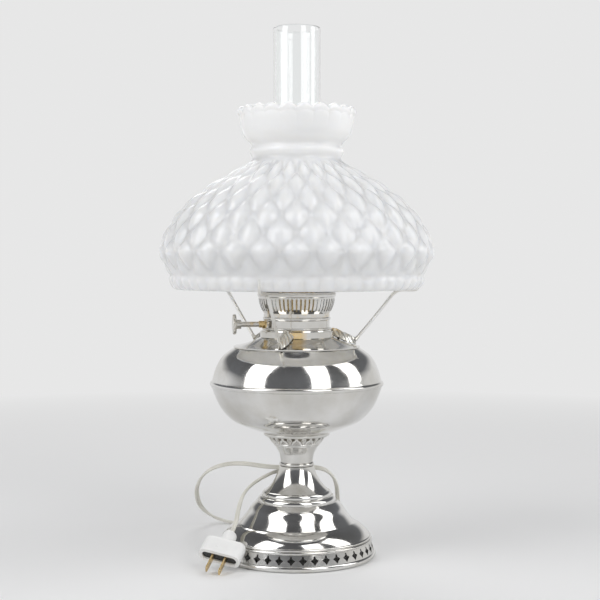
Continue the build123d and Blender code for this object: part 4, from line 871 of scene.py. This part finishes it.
def cord_route():
    """The cord's line as one NURBS curve."""
    data = bpy.data.curves.new("cord_line", "CURVE")
    data.dimensions = "3D"
    data.resolution_u = 6
    data.twist_mode = "Z_UP"
    coil = coil_points()
    points = [*LEAD, *coil, *TAIL]
    turns = [cord_turn(place, len(LEAD) - k) for k, place in enumerate(LEAD)]
    turns += [ON_EDGE] * len(coil)
    turns += [cord_turn(place, k + 1) for k, place in enumerate(TAIL)]
    spline = data.splines.new("NURBS")
    spline.points.add(len(points) - 1)
    for point, place, turn in zip(spline.points, points, turns):
        point.co = (place[0] * MM, place[1] * MM, place[2] * MM, 1)
        point.tilt = turn
    spline.order_u = 3
    spline.use_endpoint_u = True
    return data


def twin_section():
    """Section of the flat twin cord: two round cores side by side."""
    data = bpy.data.curves.new("twin_section", "CURVE")
    data.dimensions = "2D"
    spline = data.splines.new("POLY")
    turns = [-CORE_SWEEP + 2 * CORE_SWEEP * k / CORE_PARTS for k in range(CORE_PARTS + 1)]
    right = [(CORE_OFFSET + CORE_RADIUS * math.cos(a), CORE_RADIUS * math.sin(a)) for a in turns]
    left = [(-x, -y) for x, y in right]
    points = [*right, *left[1:-1]]
    spline.points.add(len(points) - 1)
    for point, (x, y) in zip(spline.points, points):
        point.co = (x, y, 0, 1)
    spline.use_cyclic_u = True
    return bpy.data.objects.new("twin_section", data)


def twin_cord():
    route = cord_route()
    line = bpy.data.objects.new("cord_line", route)
    section = twin_section()
    scene.collection.objects.link(line)
    scene.collection.objects.link(section)
    bare = bpy.data.meshes.new_from_object(line)
    path = [vert.co.copy() for vert in bare.vertices]
    route.bevel_mode = "OBJECT"
    route.bevel_object = section
    route.use_fill_caps = True
    bpy.context.view_layer.update()
    seen = line.evaluated_get(bpy.context.evaluated_depsgraph_get())
    tube = bpy.data.meshes.new_from_object(seen)
    bpy.data.objects.remove(line)
    bpy.data.objects.remove(section)
    bm = bmesh.new()
    bm.from_mesh(tube)
    made = piece("twin_cord", bm, IVORY, "lamp",
                 ["cord_lead", "cord_coil", "cord_tail"], sharp=60)
    length = sum((b - a).length for a, b in zip(path, path[1:]))
    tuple(path[0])


twin_cord()


# Finishes of the pieces that keep their CAD shape

STAYING = {
    "foot_ring": NICKEL, "gallery": NICKEL_GALLERY, "knurl_ring": NICKEL,
    "filler_neck": NICKEL, "filler_cap": NICKEL_CAST,
    "switch_housing": BLACK, "switch_bushing": BRASS,
    "switch_shaft": NICKEL_SHAFT, "switch_knob": NICKEL_CAST,
    "draft_tube": BRASS, "draft_cap": BRASS, "lamp_pipe": STEEL, "base_washer": STEEL, "base_nut": STEEL,
    "socket_shell": BRASS, "socket_liner": BLACK, "socket_contact": BRASS, "cord_bushing": BLACK,
    "coil_tie": WHITE, "plug_body": WHITE, "plug_insulator": BLACK, "plug_blades": BRASS,
    "bulb_base": STEEL, "bulb_glass": BULB_GLASS, "bulb_filament": STEEL,
}
for node, finish in STAYING.items():
    cad[node].data.materials.clear()
    cad[node].data.materials.append(finish)


# Floor, light and camera

PALE = (0.80, 0.80, 0.80)
FLOOR_GREY = (0.86, 0.86, 0.86)
FLOOR_RADIUS = 12.0
FLOOR_DROP = 0.0002
FLOOR_FADE = (0.10, 1.6)
SKY = [(0.0, PALE), (0.20, PALE), (0.36, (0.16, 0.165, 0.175)), (1.0, (0.10, 0.10, 0.105))]
LIT_MIDDLE = Vector((0, 0, 0.18))
LAMP_DISTANCE = 1.6

# Degrees to the right of the camera's side, degrees up, width and height, and watts
WINDOWS = {
    "window_left": (-60, 38, (0.85, 1.45), 11.8),
    "window_middle": (34, 39, (0.70, 1.40), 8.5),
    "window_right": (88, 38, (0.65, 1.40), 7.5),
    "window_behind": (190, 42, (0.80, 0.80), 6.2),
}
CAMERA_PLACE = (0.0033, -1.270, 0.298)
CAMERA_DOWN = math.radians(1.894)
CAMERA_LENS = 76.2
CAMERA_SENSOR = 36.0


def plain_sight(tree):
    """One for what is seen directly, mirrored or through glass, nothing for light that falls on things."""
    path = tree.nodes.new("ShaderNodeLightPath")
    mirrored = reckon(tree, "MAXIMUM", path.outputs["Is Glossy Ray"], path.outputs["Is Transmission Ray"])
    return reckon(tree, "MAXIMUM", path.outputs["Is Camera Ray"], mirrored)


def studio_floor():
    """A pale floor that fades into the background away from the lamp."""
    bm = bmesh.new()
    bmesh.ops.create_circle(bm, cap_ends=True, segments=64, radius=FLOOR_RADIUS)
    mesh = bpy.data.meshes.new("studio_floor")
    bm.to_mesh(mesh)
    bm.free()
    made, tree, shader, coords = blank("pale_floor")
    shader.inputs["Base Color"].default_value = (*FLOOR_GREY, 1)
    shader.inputs["Roughness"].default_value = 0.65
    far = tree.nodes.new("ShaderNodeVectorMath")
    far.operation = "LENGTH"
    tree.links.new(coords, far.inputs[0])
    fade = spread(tree, far.outputs["Value"], 0.0, 1.0, *FLOOR_FADE)
    background = tree.nodes.new("ShaderNodeEmission")
    background.inputs["Color"].default_value = (*PALE, 1)
    mix = tree.nodes.new("ShaderNodeMixShader")
    tree.links.new(reckon(tree, "MULTIPLY", fade, plain_sight(tree)), mix.inputs["Fac"])
    tree.links.new(shader.outputs["BSDF"], mix.inputs[1])
    tree.links.new(background.outputs["Emission"], mix.inputs[2])
    tree.links.new(mix.outputs["Shader"], tree.nodes["Material Output"].inputs["Surface"])
    mesh.materials.append(made)
    floor = bpy.data.objects.new("studio_floor", mesh)
    floor.location.z = -FLOOR_DROP
    scene.collection.objects.link(floor)


def studio_sky():
    """Pale at the horizon and dark overhead, so that the plate has something to mirror."""
    world = bpy.data.worlds.new("studio_sky")
    world.use_nodes = True
    tree = world.node_tree
    background = tree.nodes["Background"]
    coords = tree.nodes.new("ShaderNodeTexCoord").outputs["Generated"]
    tree.links.new(ramp(tree, apart(tree, coords)["Z"], SKY), background.inputs["Color"])
    background.inputs["Strength"].default_value = 1.0
    scene.world = world


def soft_box(name, turn, rise, size, power):
    """A soft lamp that faces the middle of the object."""
    turn, rise = math.radians(turn), math.radians(rise)
    away = Vector((math.sin(turn) * math.cos(rise), -math.cos(turn) * math.cos(rise), math.sin(rise)))
    data = bpy.data.lights.new(name, "AREA")
    data.shape = "RECTANGLE"
    data.size, data.size_y = size
    data.energy = power
    lamp = bpy.data.objects.new(name, data)
    lamp.location = LIT_MIDDLE + LAMP_DISTANCE * away
    lamp.rotation_euler = (-away).to_track_quat("-Z", "Y").to_euler()
    lamp.visible_camera = False
    scene.collection.objects.link(lamp)


def photo_camera():
    data = bpy.data.cameras.new("photo_camera")
    data.sensor_width = CAMERA_SENSOR
    data.lens = CAMERA_LENS
    camera = bpy.data.objects.new("photo_camera", data)
    camera.location = CAMERA_PLACE
    camera.rotation_euler = (QUARTER - CAMERA_DOWN, 0, 0)
    scene.collection.objects.link(camera)
    scene.camera = camera


studio_floor()
studio_sky()
for name, setting in WINDOWS.items():
    soft_box(name, *setting)
photo_camera()
scene.view_settings.view_transform = "Standard"
